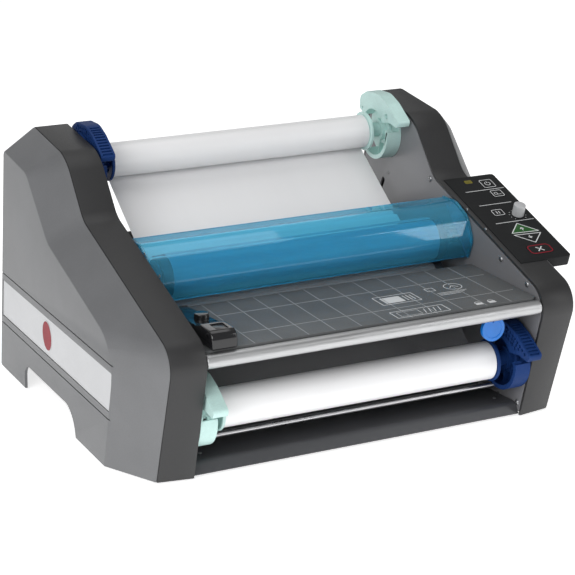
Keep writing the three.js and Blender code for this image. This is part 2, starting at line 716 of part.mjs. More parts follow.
// Locking lever: a wing over the roll end, with a hub that turns on the saddle's journal.
function lever(roll) {
  const at = (y, z) => new THREE.Vector2(roll.y + y, roll.z + z);
  const wing = new THREE.Shape();
  const inner = arcPoints(roll, LEVER_INNER_R, 148, 35, 10);
  wing.moveTo(inner[0].x, inner[0].y);
  for (const point of inner.slice(1)) wing.lineTo(point.x, point.y);
  const [heel, back, crown, brow] = [at(32, 19), at(34, 38), at(6, 43), at(-30, 37)];
  wing.lineTo(heel.x, heel.y);
  wing.quadraticCurveTo(back.x, back.y, crown.x, crown.y);
  wing.quadraticCurveTo(at(-14, 44).x, at(-14, 44).y, brow.x, brow.y);
  wing.lineTo(at(-54, 22.5).x, at(-54, 22.5).y);
  wing.quadraticCurveTo(at(-61, 18).x, at(-61, 18).y, at(-55, 13).x, at(-55, 13).y);
  wing.lineTo(at(-38, 15.5).x, at(-38, 15.5).y);
  const web = [...arcPoints(roll, LEVER_INNER_R + 2, 35, 148, 10), polar(roll, 10, 150), polar(roll, 10, 33)];
  const webX = [LEVER_X[1] - 4, LEVER_X[1]];
  const solid = join(
    prism(wing, LEVER_X, 5),
    prism(web, webX),
    rod(JOURNAL_R + 4.5, webX, roll, 20),
  );
  return cut(solid, rod(JOURNAL_R + GAP, [LEVER_X[0], LEVER_X[1] + 1], roll, 20));
}

function mirrored(geometry) {
  return flippedAfter(geometry.scale(-1, 1, 1));
}

function flippedAfter(geometry) {
  return flipped(geometry.index ? geometry : mergeVertices(geometry.deleteAttribute("normal")));
}

// One film roll with the chuck, saddle and lever at each of its ends.
function supply(level, roll, flangeR, endFinish) {
  const group = new THREE.Group();
  group.add(piece(
    level + "_film_roll",
    tube(roll.r, CORE_R, [-FILM_HALF, FILM_HALF], roll, 36),
    FINISH.film,
  ));
  for (const side of ["left", "right"]) {
    const place = (geometry) => (side === "left" ? mirrored(geometry) : geometry);
    const name = [level, side].join("_");
    group.add(
      piece(name + "_chuck", place(chuck(roll, flangeR)), endFinish[side]),
      piece(name + "_saddle", place(saddle(roll)), endFinish[side]),
      piece(name + "_lever", place(lever(roll)), endFinish[side]),
    );
  }
  return group;
}

// The straight run between two circles. A radius is positive where the film passes to the left of
// the circle's centre, seen along its travel. Returns the two touching points and the heading.
function tangent(first, firstR, second, secondR) {
  const dy = second.y - first.y;
  const dz = second.z - first.z;
  const heading = Math.atan2(dz, dy) - Math.asin((firstR - secondR) / Math.hypot(dy, dz));
  const left = heading / DEG + 90;
  return { from: polar(first, firstR, left), to: polar(second, secondR, left), left };
}

// The shorter way round a circle between two directions.
function wrap(centre, radius, fromDegrees, toDegrees, steps) {
  const turn = ((toDegrees - fromDegrees + 540) % 360) - 180;
  return arcPoints(centre, radius, fromDegrees, fromDegrees + turn, steps);
}

const LIFT = WEB / 2 + GAP; // from a roller's surface to the middle of the web on it

function upperWeb() {
  const barR = UPPER_BAR.r + LIFT;
  const heatR = HEAT_R + LIFT;
  const down = tangent(UPPER_ROLL, UPPER_ROLL.r + LIFT, UPPER_BAR, barR);
  const up = tangent(UPPER_BAR, barR, UPPER_HEAT, -heatR);
  const path = [
    down.from,
    ...wrap(UPPER_BAR, barR, down.left, up.left, 6),
    ...arcPoints(UPPER_HEAT, heatR, up.left - 180, 270, 18),
    new THREE.Vector2(WEB_EXIT_Y, UPPER_HEAT.z - heatR),
  ];
  return ribbon(path, WEB, [-FILM_HALF, FILM_HALF]);
}

function lowerWeb() {
  const heatR = HEAT_R + LIFT;
  const run = tangent(LOWER_ROLL, -(LOWER_ROLL.r + LIFT), LOWER_HEAT, heatR);
  const path = [
    run.from,
    ...wrap(LOWER_HEAT, heatR, run.left, 90, 6),
    new THREE.Vector2(WEB_EXIT_Y, LOWER_HEAT.z + heatR),
  ];
  return ribbon(path, WEB, [-FILM_HALF, FILM_HALF]);
}

function film() {
  const group = new THREE.Group();
  group.add(
    supply("upper", UPPER_ROLL, 21.8, { left: FINISH.navy, right: FINISH.teal }),
    supply("lower", LOWER_ROLL, 21.8, { left: FINISH.teal, right: FINISH.navy }),
    piece("upper_film_web", upperWeb(), FINISH.web),
    piece("lower_film_web", lowerWeb(), FINISH.web),
  );
  return group;
}

// ---- Control panel ----

const KEY_CLEARANCE = 0.35;
const KEY_TOP = 1.3;
const KEY_FLANGE = 1;
const PANEL_PLATE = 3;
const PANEL_FLOOR = 2;
const KNOB = { x: 235, y: -80, r: 6.5, height: 13, shaftR: 3 };

// Along the slope, from a horizontal position y.
function upSlope(y) {
  return (y - PANEL.y) / Math.cos(SLOPE_ANGLE);
}

function keyBox(x0, x1, y0, y1, radius = 2) {
  return rounded([
    [x0, upSlope(y0), radius], [x0, upSlope(y1), radius],
    [x1, upSlope(y1), radius], [x1, upSlope(y0), radius],
  ], CORNER_STEPS);
}

function keyTriangle(corners) {
  return rounded(corners.map(([x, y]) => [x, upSlope(y), 0.8]), CORNER_STEPS);
}

const KEYS = {
  power_key: keyBox(227, 242.5, -26, -11),
  film_key: keyBox(228.5, 242.5, -44, -32),
  standby_key: keyBox(209, 222.5, -77, -66),
  run_key: keyTriangle([[208, -110.6], [225, -93.5], [243, -112.2]]),
  reverse_key: keyTriangle([[208, -113], [243, -114.6], [226, -131]]),
  stop_key: keyBox(210, 238, -149, -134, 5),
};
const KEY_FINISH = { run_key: FINISH.green, stop_key: FINISH.red };

// Grows a convex outline about its middle by a margin.
function grown(outline, margin) {
  const middle = outline
    .reduce((sum, point) => sum.add(point), new THREE.Vector2())
    .divideScalar(outline.length);
  return outline.map((point) => {
    const arm = point.clone().sub(middle);
    return middle.clone().addScaledVector(arm, 1 + margin / arm.length());
  });
}

// A solid on the panel with an outline in its own plane, between two heights.
function raised(outline, [z0, z1]) {
  return new THREE.ExtrudeGeometry(new THREE.Shape(outline), { depth: z1 - z0, bevelEnabled: false })
    .translate(0, 0, z0);
}

function post(x, y, r, [z0, z1], segments = 20) {
  return new THREE.CylinderGeometry(r, r, z1 - z0, segments)
    .rotateX(Math.PI / 2)
    .translate(x, upSlope(y), (z0 + z1) / 2);
}

const LIGHT_OUTLINE = keyBox(210.5, 219.5, -14, -8, 1.5);

function controlPanel() {
  const [x0, x1] = PANEL.x;
  const reach = PANEL.halfLength;
  const outline = rounded([
    [x0, -reach, 1], [x0, reach, 1], [x1, reach, 4], [x1, -reach, 4],
  ], CORNER_STEPS);
  const inside = block(
    [x0 + 2.5, x1 - 2.5],
    [2.5 - reach, reach - 2.5],
    [PANEL.bottom + PANEL_FLOOR, PANEL.top - PANEL_PLATE],
  );
  const through = [PANEL.top - PANEL_PLATE - 1, PANEL.top + 1];
  const wells = [...Object.values(KEYS), LIGHT_OUTLINE]
    .map((key) => raised(grown(key, KEY_CLEARANCE), through));
  return onPanel(cut(
    raised(outline, [PANEL.bottom, PANEL.top]),
    inside,
    ...wells,
    post(KNOB.x, KNOB.y, KNOB.shaftR + 0.4, through),
  ));
}

function key(outline) {
  const under = PANEL.top - PANEL_PLATE - GAP;
  return onPanel(join(
    raised(outline, [under - 3, KEY_TOP]),
    raised(grown(outline, KEY_FLANGE), [under - 1.3, under]),
  ));
}

function speedKnob() {
  return onPanel(join(
    post(KNOB.x, KNOB.y, KNOB.r, [PANEL.top + 0.5, PANEL.top + KNOB.height], 24),
    post(KNOB.x, KNOB.y, KNOB.shaftR, [-6.4, PANEL.top + 1], 16),
  ));
}

function circuitBoard() {
  const edge = 3;
  const [x0, x1] = PANEL.x;
  const reach = PANEL.halfLength - edge;
  return onPanel(block([x0 + edge, x1 - edge], [-reach, reach], [-8.6, -7.4]));
}

function controls() {
  const group = new THREE.Group();
  group.add(
    piece("control_panel", controlPanel(), FINISH.gloss),
    piece("circuit_board", circuitBoard(), FINISH.circuit),
    piece("speed_knob", speedKnob(), FINISH.silver),
    piece("ready_light", onPanel(raised(LIGHT_OUTLINE, [-6, KEY_TOP])), FINISH.amber),
  );
  for (const [name, outline] of Object.entries(KEYS)) {
    group.add(piece(name, key(outline), KEY_FINISH[name] ?? FINISH.gloss));
  }
  return group;
}

// ---- The machine ----

const leftHousing = housing("left", false);
leftHousing.scale.x = -1;

const machine = new THREE.Group();
machine.position.y = FOOTPRINT_SHIFT;
machine.add(
  housing("right", true), leftHousing,
  frame(), table(), piece("heat_shield", heatShield(), FINISH.shield),
  drive(), film(), controls(),
);

const laminator = new THREE.Group();
laminator.add(machine);

export default laminator;
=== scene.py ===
"""Looks of a desktop roll laminator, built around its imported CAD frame.

Sizes are millimetres on the drawing's axes: +X to the operator's right, +Y to the rear, +Z up.
The drawing's zero is the middle of the housings; deliver() carries a shape into the row frame.
"""

import logging
import math
from dataclasses import dataclass, field
from enum import Enum
from typing import Callable, Iterable, Sequence

import bmesh
import bpy
from mathutils import Matrix, Vector


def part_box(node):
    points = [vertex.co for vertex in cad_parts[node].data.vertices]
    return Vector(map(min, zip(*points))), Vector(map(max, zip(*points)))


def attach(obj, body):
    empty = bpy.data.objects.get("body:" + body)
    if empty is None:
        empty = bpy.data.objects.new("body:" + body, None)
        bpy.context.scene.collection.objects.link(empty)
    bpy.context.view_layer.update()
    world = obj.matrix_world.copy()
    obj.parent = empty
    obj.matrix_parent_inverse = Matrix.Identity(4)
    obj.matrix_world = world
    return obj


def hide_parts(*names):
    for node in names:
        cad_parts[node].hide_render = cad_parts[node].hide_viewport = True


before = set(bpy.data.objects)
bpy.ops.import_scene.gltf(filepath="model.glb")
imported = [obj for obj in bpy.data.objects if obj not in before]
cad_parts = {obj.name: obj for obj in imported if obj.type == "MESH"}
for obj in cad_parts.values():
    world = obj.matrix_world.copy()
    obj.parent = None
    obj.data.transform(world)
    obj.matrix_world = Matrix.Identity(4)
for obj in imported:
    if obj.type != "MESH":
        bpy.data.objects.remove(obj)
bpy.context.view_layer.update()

LOG = logging.getLogger("laminator")
MM = 0.001

Pair = tuple[float, float]
Corner = tuple[float, float, float]
Colour = tuple[float, float, float]

# ---- Sizes that several sub-assemblies share ----

GAP = 0.3
WALL = 3.0
SHEET = 2.0
PLATE_X = 184.5
BAND_X = 221.0
SIDE_X = 252.0
SLOPE_Z = 213.4
SLOPE_RISE = 0.32
SLOPE_ANGLE = math.atan(SLOPE_RISE)
FILM_HALF = 152.5
TABLE_Z = 139.0
FRONT_BAR_YZ = (-204.0, 130.3)
UPPER_ROLL_YZ = (117.0, 247.0)
LOWER_ROLL_YZ = (-159.7, 63.6)


def drawing_shift() -> float:
    """How far the drawing's zero lies behind the row frame's, from the front bar's place."""
    low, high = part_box("front_bar")
    return (low.y + high.y) / 2 / MM - FRONT_BAR_YZ[0]


SHIFT_Y = drawing_shift()


class Side(Enum):
    """The two ends of the machine; the value is the sign of X."""

    RIGHT = 1
    LEFT = -1

    @property
    def word(self) -> str:
        """The word used in node names."""
        return self.name.lower()


class Level(Enum):
    """The two film rolls."""

    UPPER = "upper"
    LOWER = "lower"


# ---- Finishes ----


class Recipe:
    """A node material under construction, with its Principled shader ready."""

    def __init__(self, name: str) -> None:
        """Starts an empty material.

        Args:
            name: the material's name.
        """
        self.material = bpy.data.materials.new(name)
        self.material.use_nodes = True
        self.tree = self.material.node_tree
        self.shader = self.tree.nodes["Principled BSDF"]
        self._place = None

    def node(self, kind: str, **settings: object) -> bpy.types.Node:
        """Adds a node.

        Args:
            kind: the node's type name without its ShaderNode prefix.
            settings: node properties, or input sockets by their name with _ for spaces.

        Returns:
            The new node.
        """
        made = self.tree.nodes.new("ShaderNode" + kind)
        for key, value in settings.items():
            if hasattr(made, key):
                setattr(made, key, value)
            else:
                made.inputs[key.replace("_", " ")].default_value = value
        return made

    def link(self, source: object, target: object) -> None:
        """Joins an output socket to an input socket."""
        self.tree.links.new(source, target)

    def place(self, scale: Sequence[float] = (1, 1, 1), at: Sequence[float] = (0, 0, 0)) -> object:
        """Object coordinates, stretched.

        Args:
            scale: how much each axis is multiplied by.
            at: the point, in metres, that becomes the pattern's zero.

        Returns:
            The vector socket.
        """
        if self._place is None:
            self._place = self.node("TexCoord").outputs["Object"]
        mapping = self.node("Mapping")
        mapping.inputs["Scale"].default_value = scale
        mapping.inputs["Location"].default_value = [-a * s for a, s in zip(at, scale)]
        self.link(self._place, mapping.inputs["Vector"])
        return mapping.outputs["Vector"]

    def noise(
        self, scale: float, vector: object, detail: float = 3.0, roughness: float = 0.55
    ) -> object:
        """A noise value.

        Args:
            scale: cells per metre.
            vector: the coordinates to read.
            detail: octaves.
            roughness: how much the small octaves count.

        Returns:
            The value socket.
        """
        made = self.node("TexNoise", Scale=scale, Detail=detail, Roughness=roughness)
        self.link(vector, made.inputs["Vector"])
        return made.outputs["Fac"]

    def between(
        self, value: object, low: float, high: float, start: float = 0.35, end: float = 0.65
    ) -> object:
        """Remaps a value from start..end to low..high.

        Args:
            value: the value socket.
            low: the result at start.
            high: the result at end.
            start: where the remap begins.
            end: where it ends.

        Returns:
            The value socket.
        """
        made = self.node("MapRange", From_Min=start, From_Max=end, To_Min=low, To_Max=high)
        self.link(value, made.inputs["Value"])
        return made.outputs["Result"]

    def tint(self, factor: object, first: Colour, second: Colour) -> object:
        """Mixes two colours.

        Args:
            factor: the value socket, 0 for the first and 1 for the second.
            first: linear colour.
            second: linear colour.

        Returns:
            The colour socket.
        """
        made = self.node("Mix", data_type="RGBA")
        made.inputs[6].default_value = (*first, 1)
        made.inputs[7].default_value = (*second, 1)
        self.link(factor, made.inputs[0])
        return made.outputs[2]

    def bump(self, height: object, strength: float, depth: float, under: object = None) -> object:
        """A bump normal.

        Args:
            height: the height socket.
            strength: 0 to 1.
            depth: metres for a full step of height.
            under: a bump normal that this one adds to.

        Returns:
            The normal socket.
        """
        made = self.node("Bump", Strength=strength, Distance=depth)
        self.link(height, made.inputs["Height"])
        if under is not None:
            self.link(under, made.inputs["Normal"])
        return made.outputs["Normal"]

    def drive(self, **sockets: object) -> None:
        """Links sockets to the shader's inputs, named with _ for spaces."""
        for key, socket in sockets.items():
            self.link(socket, self.shader.inputs[key.replace("_", " ")])

    def fix(self, **values: object) -> None:
        """Sets uniform values on the shader's inputs, named with _ for spaces."""
        for key, value in values.items():
            self.shader.inputs[key.replace("_", " ")].default_value = value


def linear(code: str) -> Colour:
    """Turns a hex colour into a linear one.

    Args:
        code: six hex digits.

    Returns:
        Red, green and blue in linear light.
    """
    parts = [int(code[i : i + 2], 16) / 255 for i in (0, 2, 4)]
    return tuple(p / 12.92 if p <= 0.04045 else ((p + 0.055) / 1.055) ** 2.4 for p in parts)


def shaded(colour: Colour, factor: float) -> Colour:
    """A darker or lighter version of a colour."""
    return tuple(min(1.0, part * factor) for part in colour)


@dataclass(frozen=True)
class Moulded:
    """Moulded plastic with a fine spark-eroded grain, fine flecks and small colour drift."""

    name: str
    colour: str
    roughness: float = 0.5
    grain_mm: float = 0.45
    relief: float = 0.35
    drift: float = 0.08
    specular: float = 0.5

    def build(self) -> bpy.types.Material:
        """Makes the material."""
        recipe = Recipe(self.name)
        base = linear(self.colour)
        here = recipe.place()
        grain = recipe.noise(1 / (self.grain_mm * MM), here, 2.0)
        cloud = recipe.noise(22.0, here, 4.0)
        flecks = recipe.noise(900.0, here, 1.0)
        body = recipe.tint(
            recipe.between(cloud, 0, 1), shaded(base, 1 - self.drift), shaded(base, 1 + self.drift)
        )
        fleck = recipe.node("Mix", data_type="RGBA", blend_type="MULTIPLY")
        fleck.inputs[0].default_value = 1.0
        recipe.link(body, fleck.inputs[6])
        shade = recipe.tint(recipe.between(flecks, 0, 1, 0.3, 0.7), (0.93,) * 3, (1, 1, 1))
        recipe.link(shade, fleck.inputs[7])
        recipe.drive(
            Base_Color=fleck.outputs[2],
            Roughness=recipe.between(grain, self.roughness - 0.07, self.roughness + 0.07),
            Normal=recipe.bump(grain, self.relief, 0.00006),
        )
        recipe.fix(Specular_IOR_Level=self.specular, IOR=1.5)
        return recipe.material


@dataclass(frozen=True)
class Glossy:
    """Polished plastic with hairline scratches and a trace of orange peel."""

    name: str
    colour: str
    roughness: float = 0.14
    specular: float = 0.5
    coat: float = 0.3

    def build(self) -> bpy.types.Material:
        """Makes the material."""
        recipe = Recipe(self.name)
        base = linear(self.colour)
        hair = recipe.noise(260.0, recipe.place((1, 9, 9)), 5.0, 0.7)
        peel = recipe.noise(190.0, recipe.place(), 1.0)
        smear = recipe.noise(34.0, recipe.place(), 3.0)
        recipe.drive(
            Base_Color=recipe.tint(
                recipe.between(smear, 0, 1), shaded(base, 0.92), shaded(base, 1.07)
            ),
            Roughness=recipe.between(hair, self.roughness, self.roughness + 0.1, 0.45, 0.8),
            Normal=recipe.bump(peel, 0.05, 0.00005),
        )
        recipe.fix(Specular_IOR_Level=self.specular, Coat_Weight=self.coat, Coat_Roughness=0.08)
        return recipe.material


@dataclass(frozen=True)
class Painted:
    """Powder-coated or satin painted sheet steel."""

    name: str
    colour: str
    roughness: float = 0.42
    peel_mm: float = 1.6
    metallic: float = 0.0

    def build(self) -> bpy.types.Material:
        """Makes the material."""
        recipe = Recipe(self.name)
        base = linear(self.colour)
        here = recipe.place()
        peel = recipe.noise(1 / (self.peel_mm * MM), here, 2.0)
        fine = recipe.noise(3200.0, here, 1.0)
        cloud = recipe.noise(14.0, here, 4.0)
        recipe.drive(
            Base_Color=recipe.tint(
                recipe.between(cloud, 0, 1), shaded(base, 0.97), shaded(base, 1.03)
            ),
            Roughness=recipe.between(fine, self.roughness - 0.06, self.roughness + 0.08),
            Normal=recipe.bump(fine, 0.12, 0.00004, recipe.bump(peel, 0.1, 0.00012)),
        )
        recipe.fix(Metallic=self.metallic)
        return recipe.material


@dataclass(frozen=True)
class Brushed:
    """Bare metal with fine lines drawn along X, or all round where lines_along_x is False."""

    name: str
    colour: str
    roughness: float = 0.28
    lines_along_x: bool = True

    def build(self) -> bpy.types.Material:
        """Makes the material."""
        recipe = Recipe(self.name)
        base = linear(self.colour)
        stretch = (0.02, 1, 1) if self.lines_along_x else (1, 0.05, 0.05)
        lines = recipe.noise(2600.0, recipe.place(stretch), 4.0, 0.7)
        stain = recipe.noise(18.0, recipe.place(), 4.0)
        recipe.drive(
            Base_Color=recipe.tint(
                recipe.between(lines, 0, 1), shaded(base, 0.88), shaded(base, 1.04)
            ),
            Roughness=recipe.between(stain, self.roughness - 0.05, self.roughness + 0.07),
            Normal=recipe.bump(lines, 0.1, 0.00003),
        )
        recipe.fix(Metallic=1.0)
        return recipe.material


@dataclass(frozen=True)
class Clear:
    """Tinted clear polycarbonate with faint flow lines along X and hair scratches."""

    name: str
    colour: str
    body: float = 0.2
    roughness: float = 0.03

    def build(self) -> bpy.types.Material:
        """Makes the material."""
        recipe = Recipe(self.name)
        base = linear(self.colour)
        flow = recipe.noise(60.0, recipe.place((0.05, 1, 1)), 2.0)
        hair = recipe.noise(300.0, recipe.place((1, 12, 12)), 5.0, 0.75)
        recipe.drive(
            Base_Color=recipe.tint(
                recipe.between(flow, 0, 1), shaded(base, 0.9), shaded(base, 1.1)
            ),
            Roughness=recipe.between(hair, self.roughness, self.roughness + 0.06, 0.5, 0.8),
            Normal=recipe.bump(flow, 0.06, 0.0004),
        )
        recipe.fix(Transmission_Weight=1 - self.body, IOR=1.45)
        return recipe.material


@dataclass(frozen=True)
class WoundFilm:
    """Film wound on a roll: smooth and white, with the layers' edges as rings on its ends."""

    name: str
    colour: str
    axis: Pair
    face_r: float

    def build(self) -> bpy.types.Material:
        """Makes the material."""
        recipe = Recipe(self.name)
        base = linear(self.colour)
        centre = (0, (self.axis[0] + SHIFT_Y) * MM, self.axis[1] * MM)
        flat = recipe.place((0, 1, 1), centre)
        radius = recipe.node("VectorMath", operation="LENGTH")
        recipe.link(flat, radius.inputs[0])
        spread = recipe.node("CombineXYZ")
        recipe.link(radius.outputs["Value"], spread.inputs["X"])
        on_face = recipe.node("Math", operation="LESS_THAN")
        recipe.link(radius.outputs["Value"], on_face.inputs[0])
        on_face.inputs[1].default_value = self.face_r * MM
        layers = recipe.noise(3000.0, spread.outputs["Vector"], 3.0, 0.8)
        depth = recipe.node("Math", operation="MULTIPLY")
        recipe.link(recipe.between(layers, 1, 0), depth.inputs[0])
        recipe.link(on_face.outputs[0], depth.inputs[1])
        rings = depth.outputs[0]
        bands = recipe.noise(30.0, recipe.place((1, 0.1, 0.1)), 3.0)
        mixed = recipe.node("Mix", data_type="RGBA", blend_type="MULTIPLY")
        mixed.inputs[0].default_value = 1.0
        recipe.link(recipe.tint(rings, base, shaded(base, 0.8)), mixed.inputs[6])
        recipe.link(
            recipe.tint(recipe.between(bands, 0, 1), (0.992,) * 3, (1, 1, 1)), mixed.inputs[7]
        )
        recipe.drive(
            Base_Color=mixed.outputs[2],
            Roughness=recipe.between(bands, 0.36, 0.38),
            Normal=recipe.bump(rings, 0.08, 0.00005),
        )
        recipe.fix(Coat_Weight=0.3, Coat_Roughness=0.3)
        return recipe.material


@dataclass(frozen=True)
class Web:
    """A single layer of film under tension, with soft lengthwise tension bands: clear at a low
    alpha, near-opaque white at a high one as painted reflection.
    """

    name: str
    colour: str
    alpha: float

    def build(self) -> bpy.types.Material:
        """Makes the material."""
        recipe = Recipe(self.name)
        base = linear(self.colour)
        bands = recipe.noise(26.0, recipe.place((1, 0.12, 0.12)), 3.0)
        recipe.drive(
            Base_Color=recipe.tint(recipe.between(bands, 0, 1), shaded(base, 0.985), base),
            Roughness=recipe.between(bands, 0.34, 0.4),
            Normal=recipe.bump(bands, 0.03, 0.0003),
        )
        recipe.fix(Alpha=self.alpha, Transmission_Weight=0.0, Coat_Weight=0.2, Coat_Roughness=0.1)
        return recipe.material


@dataclass(frozen=True)
class Rubber:
    """Cured rubber: dull, with a fine pitted skin and a dusting of bloom."""

    name: str
    colour: str
    roughness: float = 0.8

    def build(self) -> bpy.types.Material:
        """Makes the material."""
        recipe = Recipe(self.name)
        base = linear(self.colour)
        here = recipe.place()
        pits = recipe.node("TexVoronoi", Scale=1500.0)
        recipe.link(here, pits.inputs["Vector"])
        bloom = recipe.noise(45.0, here, 5.0)
        recipe.drive(
            Base_Color=recipe.tint(
                recipe.between(bloom, 0, 1, 0.4, 0.75), base, shaded(base, 1.5)
            ),
            Roughness=recipe.between(bloom, self.roughness - 0.08, self.roughness + 0.08),
            Normal=recipe.bump(pits.outputs["Distance"], 0.2, 0.00006),
        )
        return recipe.material


@dataclass(frozen=True)
class Circuit:
    """A green board: solder mask with copper tracks showing as faint lines."""

    name: str
    colour: str

    def build(self) -> bpy.types.Material:
        """Makes the material."""
        recipe = Recipe(self.name)
        base = linear(self.colour)
        tracks = recipe.node("TexBrick", Scale=160.0, Mortar_Size=0.06, offset=0.3)
        recipe.link(recipe.place(), tracks.inputs["Vector"])
        weave = recipe.noise(1800.0, recipe.place(), 1.0)
        recipe.drive(
            Base_Color=recipe.tint(tracks.outputs["Fac"], base, shaded(base, 2.2)),
            Roughness=recipe.between(weave, 0.25, 0.4),
            Normal=recipe.bump(tracks.outputs["Fac"], 0.2, 0.00005),
        )
        return recipe.material


@dataclass(frozen=True)
class Lens:
    """A tinted light pipe with a cellular prism pattern and a trace of glow."""

    name: str
    colour: str
    glow: float

    def build(self) -> bpy.types.Material:
        """Makes the material."""
        recipe = Recipe(self.name)
        base = linear(self.colour)
        cells = recipe.node("TexVoronoi", Scale=900.0)
        recipe.link(recipe.place(), cells.inputs["Vector"])
        recipe.drive(
            Base_Color=recipe.tint(cells.outputs["Distance"], base, shaded(base, 0.6)),
            Normal=recipe.bump(cells.outputs["Distance"], 0.2, 0.0001),
        )
        recipe.fix(Roughness=0.2, Emission_Color=(*base, 1), Emission_Strength=self.glow)
        return recipe.material


class Finish(Enum):
    """Every finish of the machine, each with the material slot that it stands for."""

    GRAPHITE = (Moulded("graphite_moulding", "6a6b6d", 0.46, 0.5, 0.3, 0.04), "cover_graphite")
    BLACK = (Moulded("black_moulding", "2a2a2b", 0.48, 0.5, 0.3, 0.04), "cover_black")
    STRIPE = (Painted("stripe_satin_silver", "bcbdbf", 0.36, 2.4, 0.25), "stripe_silver")
    PLATE = (Painted("plate_grey_paint", "79797c", 0.4, 1.8), "plate_paint")
    DARK_SHEET = (Painted("sheet_dark_paint", "47484b", 0.36, 2.0, 0.1), "dark_sheet")
    RUBBER = (Rubber("foot_moulded_rubber", "202020"), "foot_rubber")
    CHROME = (Brushed("rod_satin_chrome", "dcdcde", 0.3), "bar_chrome")
    ALUMINIUM = (Brushed("bar_satin_aluminium", "c4c5c6", 0.4), "bar_aluminium")
    INLET = (Glossy("inlet_black", "161618", 0.3), "inlet_plastic")
    SLATE = (Moulded("table_slate_laminate", "626465", 0.45, 0.8, 0.12), "table_slate")
    GLOSS_BLACK = (Glossy("guide_gloss_black", "18181a", 0.12), "gloss_black")
    LATCH = (Glossy("latch_bright_blue", "0a78d6", 0.22), "latch_blue")
    SHIELD = (Clear("shield_clear_blue", "62d2fa", 0.2), "shield_blue")
    SILICONE = (Rubber("roller_silicone", "303136", 0.6), "silicone")
    PULL = (Rubber("roller_black_rubber", "1d1d1e", 0.7), "pull_rubber")
    GEAR = (Moulded("gear_natural_plastic", "d9d4c4", 0.5, 0.9, 0.1), "gear_plastic")
    STEEL = (Brushed("plated_steel", "a9aaac", 0.3, False), "motor_steel")
    UPPER_FILM = (WoundFilm("upper_roll_film", "ededee", UPPER_ROLL_YZ, 17.7), "film_roll")
    LOWER_FILM = (WoundFilm("lower_roll_film", "f6f6f7", LOWER_ROLL_YZ, 19.1), "film_roll")
    # The upper web is the same clear film drawn near-opaque white: painted reflection of the bright
    # surround; the lower web keeps the film clear.
    WEB_MILKY = (Web("web_milky_film", "ededee", 0.96), "film_web")
    WEB_CLEAR = (Web("web_clear_film", "f4f4f6", 0.16), "film_web")
    NAVY = (Moulded("roll_end_navy", "1b3970", 0.5, 0.7, 0.15, specular=0.12), "end_navy")
    TEAL = (Moulded("end_pale_teal", "c4e4df", 0.42, 0.7, 0.18), "end_teal")
    PANEL = (
        Moulded("panel_moulding_black", "232425", 0.5, 0.5, 0.2, specular=0.12), "panel_black"
    )
    CIRCUIT = (Circuit("board_green", "1f5a36"), "board_green")
    KNOB = (Painted("knob_silver_coat", "d4d5d7", 0.35, 1.2, 0.4), "knob_silver")
    AMBER = (Lens("light_pipe_amber", "7d741f", 0.02), "light_amber")
    GREEN = (Glossy("key_cap_green", "2c5c2d", 0.4, 0.12, 0.0), "key_green")
    RED = (Glossy("key_cap_red", "8a1f2c", 0.4, 0.12, 0.0), "key_red")
    PRINT = (Painted("ink_light_grey", "a9acad", 0.5, 0.8), "table_slate")
    PRINT_WHITE = (Painted("ink_white", "dfe1e2", 0.5, 0.8), "panel_black")

    @property
    def slot(self) -> str:
        """The material slot's name."""
        return self.value[1]

    @property
    def material(self) -> bpy.types.Material:
        """The built material, made once."""
        return bpy.data.materials.get(self.value[0].name) or self.value[0].build()


# ---- Shapes ----


